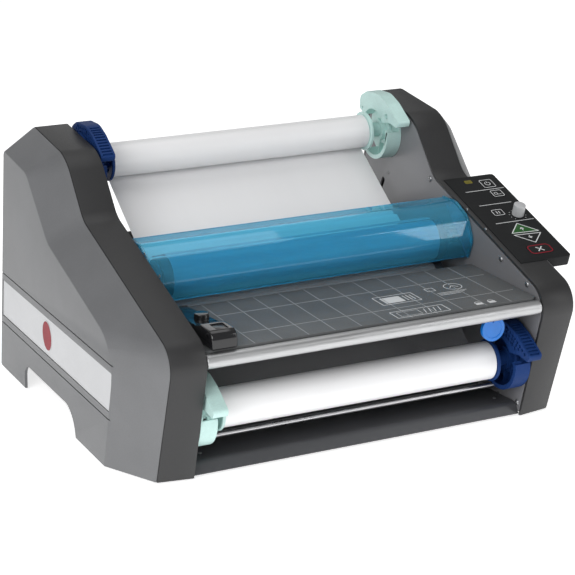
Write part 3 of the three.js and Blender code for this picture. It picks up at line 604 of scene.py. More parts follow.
class Shape:
    """A bmesh in millimetres on the drawing's axes, with the steps that the pieces share."""

    def __init__(self) -> None:
        """Starts empty."""
        self.bm = bmesh.new()

    def add(self, other: "Shape") -> "Shape":
        """Takes in another shape.

        Args:
            other: the shape, which is used up.

        Returns:
            This shape.
        """
        mesh = bpy.data.meshes.new("part")
        other.bm.to_mesh(mesh)
        other.bm.free()
        self.bm.from_mesh(mesh)
        bpy.data.meshes.remove(mesh)
        return self

    def copy(self) -> "Shape":
        """A separate copy."""
        made = Shape()
        made.bm.free()
        made.bm = self.bm.copy()
        return made

    def moved(self, matrix: Matrix) -> "Shape":
        """Applies a matrix, and turns the faces outwards again where it mirrors.

        Args:
            matrix: the transform.

        Returns:
            This shape.
        """
        bmesh.ops.transform(self.bm, matrix=matrix, verts=self.bm.verts[:])
        if matrix.determinant() < 0:
            bmesh.ops.reverse_faces(self.bm, faces=self.bm.faces[:])
        return self

    def shifted(self, x: float = 0.0, y: float = 0.0, z: float = 0.0) -> "Shape":
        """Moves the shape."""
        return self.moved(Matrix.Translation((x, y, z)))

    def on_side(self, side: Side) -> "Shape":
        """Mirrors a right-hand shape to the left where asked."""
        return self if side is Side.RIGHT else self.moved(Matrix.Diagonal((-1, 1, 1, 1)))

    def closed(self) -> "Shape":
        """Merges doubles and turns every face outwards."""
        bmesh.ops.remove_doubles(self.bm, verts=self.bm.verts[:], dist=1e-4)
        bmesh.ops.recalc_face_normals(self.bm, faces=self.bm.faces[:])
        return self

    def rounded(self, radius: float, steps: int = 2, sharper_than: float = 30.0) -> "Shape":
        """Rounds the sharp edges.

        Args:
            radius: the rounding's width.
            steps: its segments.
            sharper_than: edges that turn by more than these degrees are rounded.

        Returns:
            This shape.
        """
        self.bm.normal_update()
        limit = math.radians(sharper_than)
        sharp = [e for e in self.bm.edges if e.is_manifold and e.calc_face_angle(0) > limit]
        bmesh.ops.bevel(
            self.bm, geom=sharp, offset=radius, offset_type="OFFSET", segments=steps, profile=0.5,
            affect="EDGES", clamp_overlap=True, material=-1,
        )
        return self

    def _combined(self, tool: "Shape", how: str) -> "Shape":
        """Runs an exact boolean with a tool, which is used up."""
        pair = []
        for shape in (self, tool):
            mesh = bpy.data.meshes.new("boolean")
            bmesh.ops.recalc_face_normals(shape.bm, faces=shape.bm.faces[:])
            shape.bm.to_mesh(mesh)
            shape.bm.free()
            made = bpy.data.objects.new("boolean", mesh)
            bpy.context.scene.collection.objects.link(made)
            pair.append(made)
        modifier = pair[0].modifiers.new("boolean", "BOOLEAN")
        modifier.operation = how
        modifier.solver = "EXACT"
        modifier.use_self = True
        modifier.object = pair[1]
        shown = pair[0].evaluated_get(bpy.context.evaluated_depsgraph_get())
        self.bm = bmesh.new()
        self.bm.from_mesh(shown.to_mesh())
        shown.to_mesh_clear()
        for made in pair:
            mesh = made.data
            bpy.data.objects.remove(made)
            bpy.data.meshes.remove(mesh)
        return self

    def minus(self, tool: "Shape") -> "Shape":
        """Cuts a tool away."""
        return self._combined(tool, "DIFFERENCE")

    def plus(self, tool: "Shape") -> "Shape":
        """Fuses another shape on."""
        return self._combined(tool, "UNION")


def block(x: Pair, y: Pair, z: Pair, radius: float = 0.0, steps: int = 2) -> Shape:
    """A box between two limits on each axis.

    Args:
        x: lowest and highest x.
        y: lowest and highest y.
        z: lowest and highest z.
        radius: rounding of all edges.
        steps: segments of the rounding.

    Returns:
        The shape.
    """
    shape = Shape()
    verts = bmesh.ops.create_cube(shape.bm, size=1.0)["verts"]
    spans = (x, y, z)
    bmesh.ops.scale(shape.bm, vec=Vector([b - a for a, b in spans]), verts=verts)
    bmesh.ops.translate(shape.bm, vec=Vector([(a + b) / 2 for a, b in spans]), verts=verts)
    return shape.rounded(radius, steps) if radius else shape


def in_plane_x(x: float) -> Callable[[float, float], Vector]:
    """Places an outline's (u, v) at (x, u, v)."""
    return lambda u, v: Vector((x, u, v))


def in_plane_z(z: float) -> Callable[[float, float], Vector]:
    """Places an outline's (u, v) at (u, v, z)."""
    return lambda u, v: Vector((u, v, z))


def outline(
    corners: Sequence[Corner], place: Callable[[float, float], Vector], steps: int = 8
) -> Shape:
    """A flat face with rounded corners.

    Args:
        corners: (u, v, corner radius) in order.
        place: gives the point of a (u, v).
        steps: segments of each rounded corner.

    Returns:
        The shape, one face.
    """
    shape = Shape()
    points = [place(u, v) for u, v, _ in corners]
    shape.bm.faces.new([shape.bm.verts.new(p) for p in points])
    count = len(corners)
    for i, (_, _, radius) in enumerate(corners):
        if not radius:
            continue
        back = (points[i - 1] - points[i]).normalized()
        ahead = (points[(i + 1) % count] - points[i]).normalized()
        reach = radius / math.tan(back.angle(ahead) / 2)
        nearest = min(shape.bm.verts, key=lambda v: (v.co - points[i]).length)
        bmesh.ops.bevel(
            shape.bm, geom=[nearest], offset=reach, offset_type="OFFSET", segments=steps,
            profile=0.5, affect="VERTICES", clamp_overlap=False, material=-1,
        )
    return shape


def extruded(face: Shape, by: Sequence[float]) -> Shape:
    """Gives a flat face a depth.

    Args:
        face: the flat shape, which is used up.
        by: the direction and length of the extrusion.

    Returns:
        The closed shape.
    """
    made = bmesh.ops.extrude_face_region(face.bm, geom=face.bm.faces[:])
    verts = [g for g in made["geom"] if isinstance(g, bmesh.types.BMVert)]
    bmesh.ops.translate(face.bm, vec=Vector(by), verts=verts)
    return face.closed()


def prism(corners: Sequence[Corner], x: Pair, steps: int = 8) -> Shape:
    """A side-view outline extruded along X."""
    return extruded(outline(corners, in_plane_x(x[0]), steps), (x[1] - x[0], 0, 0))


def raised(corners: Sequence[Corner], z: Pair, steps: int = 5) -> Shape:
    """A plan-view outline extruded along Z."""
    return extruded(outline(corners, in_plane_z(z[0]), steps), (0, 0, z[1] - z[0]))


def loft(
    first: Sequence[Corner], x0: float, second: Sequence[Corner], x1: float, steps: int = 8
) -> Shape:
    """A ruled solid between two side-view outlines with the same corners.

    Args:
        first: the outline at x0.
        x0: where it starts.
        second: the outline at x1.
        x1: where it ends.
        steps: segments of each rounded corner.

    Returns:
        The closed shape.
    """
    shape = outline(first, in_plane_x(x0), steps)
    other = outline(second, in_plane_x(x1), steps)
    goal = [loop.vert.co.copy() for loop in next(iter(other.bm.faces)).loops]
    start = [loop.vert.co.copy() for loop in next(iter(shape.bm.faces)).loops]
    other.bm.free()
    made = bmesh.ops.extrude_face_region(shape.bm, geom=shape.bm.faces[:])
    for vert in (g for g in made["geom"] if isinstance(g, bmesh.types.BMVert)):
        nearest = min(range(len(start)), key=lambda i: (start[i] - vert.co).length)
        vert.co = goal[nearest]
    return shape.closed()


def turned(profile: Sequence[Pair], at: Pair, steps: int = 64) -> Shape:
    """A turned piece about an axis along X.

    Args:
        profile: (radius, x) pairs along the section.
        at: the axis' y and z.
        steps: segments round the axis.

    Returns:
        The closed shape.
    """
    shape = Shape()
    verts = [shape.bm.verts.new((x, at[0], at[1] + radius)) for radius, x in profile]
    edges = [shape.bm.edges.new(pair) for pair in zip(verts, verts[1:])]
    if profile[0][0] > 0 and profile[-1][0] > 0 and profile[0] != profile[-1]:
        edges.append(shape.bm.edges.new((verts[-1], verts[0])))
    bmesh.ops.spin(
        shape.bm, geom=verts + edges, cent=Vector((0, *at)), axis=Vector((1, 0, 0)),
        dvec=Vector((0, 0, 0)), angle=math.tau, steps=steps, use_merge=True, use_duplicate=False,
    )
    return shape.closed()


def rod(radius: float, x: Pair, at: Pair, chamfer: float = 0.0, steps: int = 48) -> Shape:
    """A round bar along X with small end chamfers."""
    c = chamfer
    profile = [
        (0, x[0]), (radius - c, x[0]), (radius, x[0] + c), (radius, x[1] - c), (radius - c, x[1]),
        (0, x[1])
    ]
    return turned(
        profile if c else [profile[0], (radius, x[0]), (radius, x[1]), profile[-1]], at, steps
    )


def tube(outer: float, inner: float, x: Pair, at: Pair, steps: int = 64) -> Shape:
    """A ring about an axis along X."""
    return turned([(inner, x[0]), (outer, x[0]), (outer, x[1]), (inner, x[1])], at, steps)


def post(radius: float, at: Pair, z: Pair, steps: int = 48, top: float = None) -> Shape:
    """An upright round post.

    Args:
        radius: its radius at the bottom.
        at: x and y of its middle.
        z: lowest and highest z.
        steps: its segments.
        top: its radius at the top, if that differs.

    Returns:
        The shape.
    """
    shape = Shape()
    bmesh.ops.create_cone(
        shape.bm, cap_ends=True, segments=steps, radius1=radius,
        radius2=radius if top is None else top, depth=z[1] - z[0],
    )
    return shape.shifted(at[0], at[1], (z[0] + z[1]) / 2)


def polar(at: Pair, radius: float, degrees: float) -> Pair:
    """The point at an angle round a centre."""
    angle = math.radians(degrees)
    return (at[0] + radius * math.cos(angle), at[1] + radius * math.sin(angle))


def arc(at: Pair, radius: float, start: float, end: float, steps: int) -> list[Pair]:
    """Points along an arc, from start to end degrees."""
    return [polar(at, radius, start + (end - start) * k / steps) for k in range(steps + 1)]


def plain(points: Iterable[Pair]) -> list[Corner]:
    """Corners without any rounding."""
    return [(u, v, 0.0) for u, v in points]


def rectangle(u: Pair, v: Pair, radius: float = 0.0) -> tuple[Corner, ...]:
    """The corners of a rectangle, each rounded."""
    return tuple(
        (a, b, radius) for a, b in ((u[0], v[0]), (u[1], v[0]), (u[1], v[1]), (u[0], v[1]))
    )


def bent_sheet(path: Sequence[Corner], thickness: float, x: Pair, steps: int = 8) -> Shape:
    """A sheet of constant thickness that follows a side-view path with rounded bends.

    Args:
        path: (y, z, bend radius) along the middle of the sheet.
        thickness: the sheet's thickness.
        x: its two ends.
        steps: segments of each bend.

    Returns:
        The closed shape.
    """
    shape = Shape()
    verts = [shape.bm.verts.new((x[0], y, z)) for y, z, _ in path]
    for pair in zip(verts, verts[1:]):
        shape.bm.edges.new(pair)
    for i, (y, z, radius) in enumerate(path):
        if not radius:
            continue
        here = Vector((x[0], y, z))
        back = (Vector((x[0], *path[i - 1][:2])) - here).normalized()
        ahead = (Vector((x[0], *path[i + 1][:2])) - here).normalized()
        reach = radius / math.tan(back.angle(ahead) / 2)
        nearest = min(shape.bm.verts, key=lambda v: (v.co - here).length)
        bmesh.ops.bevel(
            shape.bm, geom=[nearest], offset=reach, offset_type="OFFSET", segments=steps,
            profile=0.5, affect="VERTICES", clamp_overlap=False, material=-1,
        )
    made = bmesh.ops.extrude_edge_only(shape.bm, edges=shape.bm.edges[:])
    moved = [g for g in made["geom"] if isinstance(g, bmesh.types.BMVert)]
    bmesh.ops.translate(shape.bm, vec=Vector((x[1] - x[0], 0, 0)), verts=moved)
    bmesh.ops.recalc_face_normals(shape.bm, faces=shape.bm.faces[:])
    for vert in shape.bm.verts:
        vert.normal_update()
    offset = {v: v.normal.copy() * (-thickness / 2) for v in shape.bm.verts}
    for vert, by in offset.items():
        vert.co += by
    bmesh.ops.solidify(
        shape.bm, geom=shape.bm.faces[:] + shape.bm.edges[:] + shape.bm.verts[:],
        thickness=thickness
    )
    return shape.closed()


def frame_strip(corners: Sequence[Corner], width: float, z: Pair, steps: int = 4) -> Shape:
    """A thin printed frame that follows a plan-view outline.

    Args:
        corners: the outline's corners.
        width: the printed line's width.
        z: the ink's lowest and highest z.
        steps: segments of each rounded corner.

    Returns:
        The closed shape.
    """
    shape = outline(corners, in_plane_z(z[0]), steps)
    made = bmesh.ops.inset_region(
        shape.bm, faces=shape.bm.faces[:], thickness=width, use_boundary=True
    )
    rim = set(made["faces"])
    middle = [f for f in shape.bm.faces if f not in rim]
    bmesh.ops.delete(shape.bm, geom=middle, context="FACES_ONLY")
    return extruded(shape, (0, 0, z[1] - z[0]))


def line_strip(start: Pair, end: Pair, width: float, z: Pair) -> Shape:
    """A printed straight line in plan view."""
    along = Vector((end[0] - start[0], end[1] - start[1]))
    shape = block((0, along.length), (-width / 2, width / 2), z)
    turn = Matrix.Rotation(math.atan2(along.y, along.x), 4, "Z")
    return shape.moved(Matrix.Translation((*start, 0)) @ turn)


def arc_strip(at: Pair, radius: float, start: float, end: float, width: float, z: Pair) -> Shape:
    """A printed arc in plan view."""
    steps = max(6, int(abs(end - start) / 12))
    outer = arc(at, radius + width / 2, start, end, steps)
    inner = arc(at, radius - width / 2, end, start, steps)
    return raised(plain(outer + inner), z)


def deliver(
    shape: Shape, name: str, body: str, finish: Finish, replaces: Sequence[str] = (),
    edge: float = 0.0, smooth_below: float = 32.0,
) -> bpy.types.Object:
    """Turns a shape into a finished piece in the row frame.

    Args:
        shape: the shape, which is used up.
        name: the piece's name.
        body: the CAD body that it rides on.
        finish: its finish.
        replaces: the CAD nodes that it stands for.
        edge: width of a final rounding of its edges.
        smooth_below: edges that turn by less than these degrees are shaded smooth.

    Returns:
        The object.
    """
    carry = Matrix.Diagonal((MM, MM, MM, 1)) @ Matrix.Translation((0, SHIFT_Y, 0))
    bmesh.ops.transform(shape.bm, matrix=carry, verts=shape.bm.verts[:])
    for face in shape.bm.faces:
        face.smooth = True
    mesh = bpy.data.meshes.new(name)
    shape.bm.to_mesh(mesh)
    shape.bm.free()
    mesh.set_sharp_from_angle(angle=math.radians(smooth_below))
    mesh.materials.append(finish.material)
    made = bpy.data.objects.new(name, mesh)
    bpy.context.scene.collection.objects.link(made)
    if edge:
        bevel = made.modifiers.new("edge", "BEVEL")
        bevel.width = edge * MM
        bevel.segments = 2
        bevel.limit_method = "ANGLE"
        bevel.angle_limit = math.radians(smooth_below)
        bevel.harden_normals = True
        bevel.use_clamp_overlap = True
    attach(made, body)
    finish.slot
    if replaces:
        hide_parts(*replaces)
    LOG.info("%s rides on %s, %d faces", name, body, len(mesh.polygons))
    return made


def dress(node: str, finish: Finish) -> None:
    """Gives a CAD node whose shape is right its finish.

    Args:
        node: the CAD node.
        finish: its finish.
    """
    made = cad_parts[node]
    made.data.materials.clear()
    made.data.materials.append(finish.material)
    finish.slot
    LOG.info("%s keeps its CAD shape", node)


# ---- Outline arithmetic ----


def inset(corners: Sequence[Corner], distance: float) -> list[Corner]:
    """Moves each edge of a closed clockwise outline inwards.

    Args:
        corners: the outline.
        distance: how far each edge moves.

    Returns:
        The new corners, with the same radii.
    """
    count = len(corners)
    edges = []
    for i, (y, z, _) in enumerate(corners):
        next_y, next_z, _ = corners[(i + 1) % count]
        length = math.hypot(next_y - y, next_z - z)
        along = ((next_y - y) / length, (next_z - z) / length)
        edges.append((y + along[1] * distance, z - along[0] * distance, along))
    made = []
    for i, (_, _, radius) in enumerate(corners):
        before_y, before_z, before = edges[i - 1]
        after_y, after_z, after = edges[i]
        cross = before[0] * after[1] - before[1] * after[0]
        step = ((after_y - before_y) * after[1] - (after_z - before_z) * after[0]) / cross
        made.append((before_y + before[0] * step, before_z + before[1] * step, radius))
    return made


def reaching_to(height: float, corners: Sequence[Corner]) -> list[Corner]:
    """Carries a housing outline's two foot corners on down to a height.

    Args:
        height: the new foot height.
        corners: the outline, foot corners first and last.

    Returns:
        The new corners.
    """
    def carried(outer: Corner, foot: Corner) -> Corner:
        """One foot corner, carried along its own edge."""
        share = (height - foot[1]) / (outer[1] - foot[1])
        return (foot[0] + (outer[0] - foot[0]) * share, height, 0.0)

    moved = list(corners)
    moved[0] = carried(corners[1], corners[0])
    moved[-1] = carried(corners[-2], corners[-1])
    return moved


def cross_screw(radius: float = 3.2, height: float = 1.6) -> Shape:
    """A pan-head screw with a cross recess, facing -X from the drawing's zero.

    Args:
        radius: the head's radius.
        height: the head's height.

    Returns:
        The shape.
    """
    rim = [
        (0, -height), (radius * 0.5, -height * 0.97), (radius * 0.82, -height * 0.7),
        (radius, -0.25 * height)
    ]
    head = turned([*rim, (radius, 0.3), (0, 0.3)], (0, 0), 32)
    arm, half = radius * 0.55, radius * 0.12
    recess = block((-height - 1, -height * 0.35), (-arm, arm), (-half, half))
    return head.minus(
        recess.plus(block((-height - 1, -height * 0.35), (-half, half), (-arm, arm)))
    )


class Fasteners:
    """Repeats one screw head wherever the machine has a screw."""

    def __init__(self) -> None:
        """Makes the pattern head."""
        self.head = cross_screw()

    def heads(
        self, places: Iterable[tuple[float, float, float]], facing: Matrix, size: float = 1.0
    ) -> Shape:
        """Screw heads at several places.

        Args:
            places: the points where the heads sit.
            facing: turns -X to the way the heads face.
            size: their size against the pattern.

        Returns:
            The shape.
        """
        made = Shape()
        for i, place in enumerate(places):
            spin = Matrix.Rotation(math.radians(37 * i + 12), 4, "X")
            scale = Matrix.Diagonal((size, size, size, 1))
            made.add(self.head.copy().moved(Matrix.Translation(place) @ facing @ scale @ spin))
        return made


FACING_LEFT = Matrix.Identity(4)
FACING_REAR = Matrix.Rotation(math.radians(-90), 4, "Z")
FACING_UP = Matrix.Rotation(math.radians(90), 4, "Y")
FACING_DOWN = Matrix.Rotation(math.radians(-90), 4, "Y")


# ---- Housings ----


@dataclass
class PanelPlace:
    """Where the control panel sits on the right housing's slope."""

    x: Pair = (190.0, SIDE_X)
    y: float = -80.0
    half_length: float = 82.9
    top: float = 1.0
    bottom: float = -11.0

    def carry(self) -> Matrix:
        """From the panel's own plane to the slope."""
        lift = Matrix.Translation((0, self.y, SLOPE_Z + SLOPE_RISE * self.y))
        return lift @ Matrix.Rotation(SLOPE_ANGLE, 4, "X")

    def up_slope(self, y: float) -> float:
        """Distance along the slope of a horizontal position."""
        return (y - self.y) / math.cos(SLOPE_ANGLE)

    def pocket(self) -> Shape:
        """The space that the panel takes from the covers."""
        reach = self.half_length + GAP
        tool = block(
            (self.x[0] - GAP, SIDE_X + 10), (-reach, reach), (self.bottom - GAP, self.top + 30)
        )
        return tool.moved(self.carry())


@dataclass
class Housing:
    """One end of the machine: two moulded covers, the stripe, the steel side plate and its feet."""

    side: Side
    screws: Fasteners
    inner: tuple[Corner, ...] = (
        (-176, 2, 0), (
            -217.5, 143.8, 26
        ), (10, 216.6, 30), (57, 272.5, 45), (157, 284, 9), (210.6, 2, 3),
    )
    band: tuple[Corner, ...] = (
        (-170, 2, 0), (
            -217.5, 143.8, 26
        ), (10, 216.6, 30), (57, 272.5, 45), (157, 284, 9), (210.6, 2, 3),
    )
    outer: tuple[Corner, ...] = (
        (-110, 2, 0), (
            -149, 134.5, 42
        ), (34.3, 190.3, 30), (93.5, 249.5, 22), (166, 258, 6), (210.6, 2, 3),
    )
    panel: PanelPlace = field(default_factory=PanelPlace)
    corner_steps: int = 10
    stripe_front: tuple[Pair, ...] = ((-127.4, 65.5), (-136.2, 95.0), (-138.0, 107.5))
    stripe_sunk: float = 0.6
    stripe_z: Pair = (65.5, 107.5)
    stripe_depth: float = 1.5
    grooves_z: Pair = (57.0, 116.0)
    groove: float = 1.4
    foot_x: float = 203.0
    feet_y: Pair = (-148.0, 186.0)
    foot_height: float = 5.7
    badge: tuple[float, float, float, float] = (48.0, 87.0, 13.0, 15.5)
    foot_arch: tuple[Corner, ...] = ((-32, -5, 0), (-24, 31.5, 28), (126, 31.5, 16), (128, -5, 0))
    groove_y: Pair = (-160.0, 220.0)
    back_y: float = 210.7
    back_lean: float = 0.175
    stripe_short: float = 3.4
    bores: tuple[Corner, ...] = (
        (-36, 161.5, 8), (-36, 116.5, 8), (98.7, 155.5, 6), (98.7, 122.5, 6), (-24, 192, 3),
    )
    cable_slot: Corner = (127.0, 180.0, 28.0)
    plate_screws: tuple[Pair, ...] = (
        (18.7, 211), (-129.6, 160), (-179.8, 147), (-135, 11.5), (-170, 15), (150, 40), (70, 40),
    )
    small_screws: tuple[Pair, ...] = ((-60, 196), (-98, 184), (112, 196))

    def _hollow(self, corners: Sequence[Corner]) -> list[Corner]:
        """A cover's inner outline, open at the foot."""
        return inset(reaching_to(-20.0, corners), WALL)

    def _stripe_outline(self, margin: float) -> list[Corner]:
        """The stripe's side view, grown by a margin."""
        low, high = self.stripe_z[0] - margin, self.stripe_z[1] + margin
        (foot, _), (waist, waist_z), (brow, _) = self.stripe_front
        rear = [
            self.back_y - self.back_lean * z - self.stripe_short + margin for z in self.stripe_z
        ]
        return [(foot - margin, low, 1.0), (rear[0], low, 0), (rear[1], high, 0),
        (brow - margin, high, 1.0),
                (waist - margin, waist_z, 8.0)]

    def inner_cover(self) -> None:
        """The black cover next to the side plate."""
        shape = loft(self.inner, PLATE_X, self.band, BAND_X, self.corner_steps).rounded(0.8, 2, 40)
        hollow = loft(
            self._hollow(self.inner), PLATE_X - 1, self._hollow(self.band), BAND_X + 1,
            self.corner_steps,
        )
        shape.minus(hollow)
        if self.side is Side.RIGHT:
            shape.minus(self.panel.pocket())
        self._deliver(shape, "inner_cover", Finish.BLACK)

    def outer_cover(self) -> None:
        """The grey cover: chamfered edges, foot arch, two grooves and the stripe's recess."""
        start = BAND_X + GAP
        shape = loft(self.band, start, self.outer, SIDE_X, self.corner_steps).rounded(1.3, 3, 24)
        hollow = loft(
            self._hollow(self.band), start - 1, self._hollow(self.outer), SIDE_X - WALL,
            self.corner_steps,
        )
        tools = prism(self.foot_arch, (SIDE_X - 13, SIDE_X + 5), 12)
        shape.minus(hollow).minus(tools)
        cuts = prism(self._stripe_outline(GAP), (SIDE_X - self.stripe_depth - GAP, SIDE_X + 5), 3)
        for z in self.grooves_z:
            half = self.groove / 2
            cuts.add(
                block((SIDE_X - self.groove, SIDE_X + 5), self.groove_y, (z - half, z + half))
            )
        shape.minus(cuts)
        if self.side is Side.RIGHT:
            shape.minus(self.panel.pocket())
        self._deliver(shape, "outer_cover", Finish.GRAPHITE)

    def stripe(self) -> None:
        """The silver inlay and its plain oval badge."""
        face = SIDE_X - self.stripe_sunk
        shape = prism(self._stripe_outline(0), (SIDE_X - self.stripe_depth, face), 3)
        self._deliver(shape, "stripe", Finish.STRIPE, edge=0.25)
        y, z, half_y, half_z = self.badge
        for name, grow, depth, finish in (
            ("badge_rim", 1.2, 0.0, Finish.ALUMINIUM), ("badge", 0.0, 0.2, Finish.RED)
        ):
            disc = rod(1.0, (face - 0.3, face + 0.25 + depth), (0, 0), 0.0, 64)
            disc.moved(Matrix.Diagonal((1, half_y + grow, half_z + grow, 1))).shifted(0, y, z)
            self._deliver(disc, name, finish, new=True, edge=0.15)

    def side_plate(self) -> None:
        """The steel plate: foot flange, the table's ledge, shaft bores and a cable slot."""
        clearance = WALL + 3 * GAP
        plate_foot = 6.0
        face = inset(reaching_to(plate_foot - clearance, self.inner), clearance)
        plate = prism(face, (PLATE_X, PLATE_X + SHEET), self.corner_steps)
        bores = Shape()
        for y, z, radius in self.bores:
            bores.add(rod(radius + GAP, (PLATE_X - 3, PLATE_X + SHEET + 3), (y, z)))
        slot = prism(
            ((-3, -9, 2.9), (-3, 9, 2.9), (3, 9, 2.9), (3, -9, 2.9)), (PLATE_X - 3, PLATE_X + 5)
        )
        y, z, tilt = self.cable_slot
        slot.moved(Matrix.Translation((0, y, z)) @ Matrix.Rotation(math.radians(tilt), 4, "X"))
        plate.minus(bores.add(slot))
        plate.add(
            block((PLATE_X + 0.2, BAND_X - 4), (-162, 200), (plate_foot, plate_foot + SHEET))
        )
        plate.add(block((PLATE_X - 7, PLATE_X + 0.2), (-190, -78), (132.2, 136.2), 0.4))
        self._deliver(plate, "side_plate", Finish.PLATE, edge=0.35)
        heads = self.screws.heads([(PLATE_X, y, z) for y, z in self.plate_screws], FACING_LEFT)
        small = [(PLATE_X, y, z) for y, z in self.small_screws]
        heads.add(self.screws.heads(small, FACING_LEFT, 0.5))
        self._deliver(heads, "plate_screws", Finish.STEEL, new=True)

    def feet(self) -> None:
        """Two rubber feet with a screw in each."""
        for end, y in zip(("front", "rear"), self.feet_y):
            foot = post(9.5, (self.foot_x, y), (0, 1.6), top=10.2)
            foot = foot.plus(post(9.0, (self.foot_x, y), (1.5, 2.4)))
            foot = foot.plus(post(10.6, (self.foot_x, y), (2.3, self.foot_height), top=11.0))
            foot.minus(post(4.2, (self.foot_x, y), (-1, 2.6)))
            self._deliver(foot, f"{end}_foot", Finish.RUBBER, edge=0.3)
            head = self.screws.heads([(self.foot_x, y, 2.6)], FACING_DOWN, 0.9)
            self._deliver(head, f"{end}_foot_screw", Finish.STEEL, new=True)

    def _deliver(
        self, shape: Shape, word: str, finish: Finish, new: bool = False, edge: float = 0.0
    ) -> None:
        """Mirrors a right-hand shape where needed and hands it on."""
        name = f"{self.side.word}_{word}"
        kept = "" if new else name
        deliver(
            shape.on_side(self.side), name + ("" if new else "_look"), "root", finish,
            (kept,) if kept else (), edge,
        )

    def build(self) -> None:
        """Builds the whole housing."""
        self.inner_cover()
        self.outer_cover()
        self.stripe()
        self.side_plate()
        self.feet()


# ---- Frame between the housings ----


@dataclass
class Chassis:
    """Base plate, front tray, rear panel, bars and the power inlet."""

    screws: Fasteners
    span: Pair = (GAP - PLATE_X, PLATE_X - GAP)
    rear_y: float = 177.0
    rear_top: float = 127.0
    rear_lip: float = 16.0
    panel_sheet: float = 2.5
    inlet_at: Pair = (120.0, 45.0)
    lower_bar: Corner = (-144.0, 28.8, 2.75)
    upper_bar: Corner = (3.0, 155.0, 5.0)
    slot_length: float = 62.0
    slot_columns: tuple[int, ...] = (-110, -37, 37, 110)
    slot_rows: int = 9

    def base_plate(self) -> None:
        """The floor of the machine, with blind air slots pressed into its underside."""
        plate = block(self.span, (-95, 176), (9, 11))
        slots = Shape()
        half = self.slot_length / 2
        for column in self.slot_columns:
            for row in range(self.slot_rows):
                y = 10 + row * 12
                corners = rectangle((column - half, column + half), (y, y + 4), 1.9)
                slots.add(raised(corners, (6, 10)))
        deliver(
            plate.minus(slots), "base_plate_look", "root", Finish.DARK_SHEET, ("base_plate",), 0.3
        )
        spots = [(x, y, 9) for x in (-172, -60, 60, 172) for y in (-85, 168)]
        deliver(self.screws.heads(spots, FACING_DOWN), "base_screws", "root", Finish.STEEL)

    def front_tray(self) -> None:
        """The bent sheet under the lower roll."""
        path = ((-175, 5, 0), (-166.5, 16.2, 9), (-98, 12, 0))
        tray = bent_sheet(path, SHEET, self.span, 10)
        deliver(tray, "front_tray_look", "root", Finish.DARK_SHEET, ("front_tray",), 0.3)
        spots = [(x * 168.0, y, z) for x in (-1, 1) for y, z in ((-152, 16.4), (-112, 13.9))]
        deliver(self.screws.heads(spots, FACING_UP, 0.6), "tray_screws", "root", Finish.STEEL)

    def rear_panel(self) -> None:
        """The rear panel, folded forward under the outlet, with the inlet's opening."""
        middle = self.rear_y - self.panel_sheet / 2
        path = (
            (middle, 12.5, 0), (middle, self.rear_top, 4),
            (middle - self.rear_lip, self.rear_top, 0)
        )
        sheet = bent_sheet(path, self.panel_sheet, self.span, 8)
        x, z = self.inlet_at
        cuts = block((x - 14, x + 14), (self.rear_y - 10, self.rear_y + 5), (z - 10.5, z + 10.5))
        deliver(sheet.minus(cuts), "rear_panel_look", "root", Finish.BLACK, ("rear_panel",), 0.3)
        spots = [(x, self.rear_y, z) for x in (-176, -75, 75, 176) for z in (20, 116)]
        deliver(self.screws.heads(spots, FACING_REAR, 0.9), "rear_screws", "root", Finish.STEEL)

    def bars(self) -> None:
        """The two idler bars."""
        lower = rod(self.lower_bar[2], self.span, self.lower_bar[:2], 0.5)
        deliver(lower, "lower_idler_bar_look", "root", Finish.CHROME, ("lower_idler_bar",))
        upper = rod(self.upper_bar[2], self.span, self.upper_bar[:2], 0.6)
        deliver(upper, "upper_idler_bar_look", "root", Finish.ALUMINIUM, ("upper_idler_bar",))
        collars = Shape()
        for side in Side:
            for at, radius in ((self.lower_bar[:2], 4.6), (self.upper_bar[:2], 7.5)):
                inner = PLATE_X - GAP
                collars.add(tube(radius, radius - 1.7, (inner - 3.5, inner), at, 40).on_side(side))
        deliver(collars, "bar_collars", "root", Finish.INLET, (), 0.3)

    def inlet(self) -> None:
        """The three-pole appliance inlet."""
        x, z = self.inlet_at

        def layer(half: Pair, y: Pair, radius: float) -> Shape:
            """A rounded block round the inlet's middle."""
            spans = ((x - half[0], x + half[0]), (z - half[1], z + half[1]))
            corners = rectangle(*spans, radius)
            return extruded(
                outline(corners, lambda u, v: Vector((u, y[0], v)), 6), (0, y[1] - y[0], 0)
            )

        body = layer((18, 14), (self.rear_y + GAP, self.rear_y + 2.5), 3)
        body = body.plus(layer((13.6, 10.1), (self.rear_y - 20, self.rear_y + 1), 2))
        body.minus(layer((11.2, 7.8), (self.rear_y - 15, self.rear_y + 5), 2.5))
        deliver(body, "power_inlet_look", "root", Finish.INLET, ("power_inlet",), 0.4)
        pins = Shape()
        for dx, dz in ((-6.5, -1.8), (6.5, -1.8), (0, 2.6)):
            y = (self.rear_y - 15.5, self.rear_y - 2)
            pins.add(block((x + dx - 1, x + dx + 1), y, (z + dz - 2, z + dz + 2), 0.5))
        deliver(pins, "inlet_pins", "root", Finish.STEEL)
        spots = [(x + s * 15.6, self.rear_y + 2.5, z) for s in (-1, 1)]
        deliver(self.screws.heads(spots, FACING_REAR, 0.5), "inlet_screws", "root", Finish.STEEL)

    def build(self) -> None:
        """Builds the frame's pieces."""
        self.base_plate()
        self.front_tray()
        self.rear_panel()
        self.bars()
        self.inlet()


# ---- Feed table ----


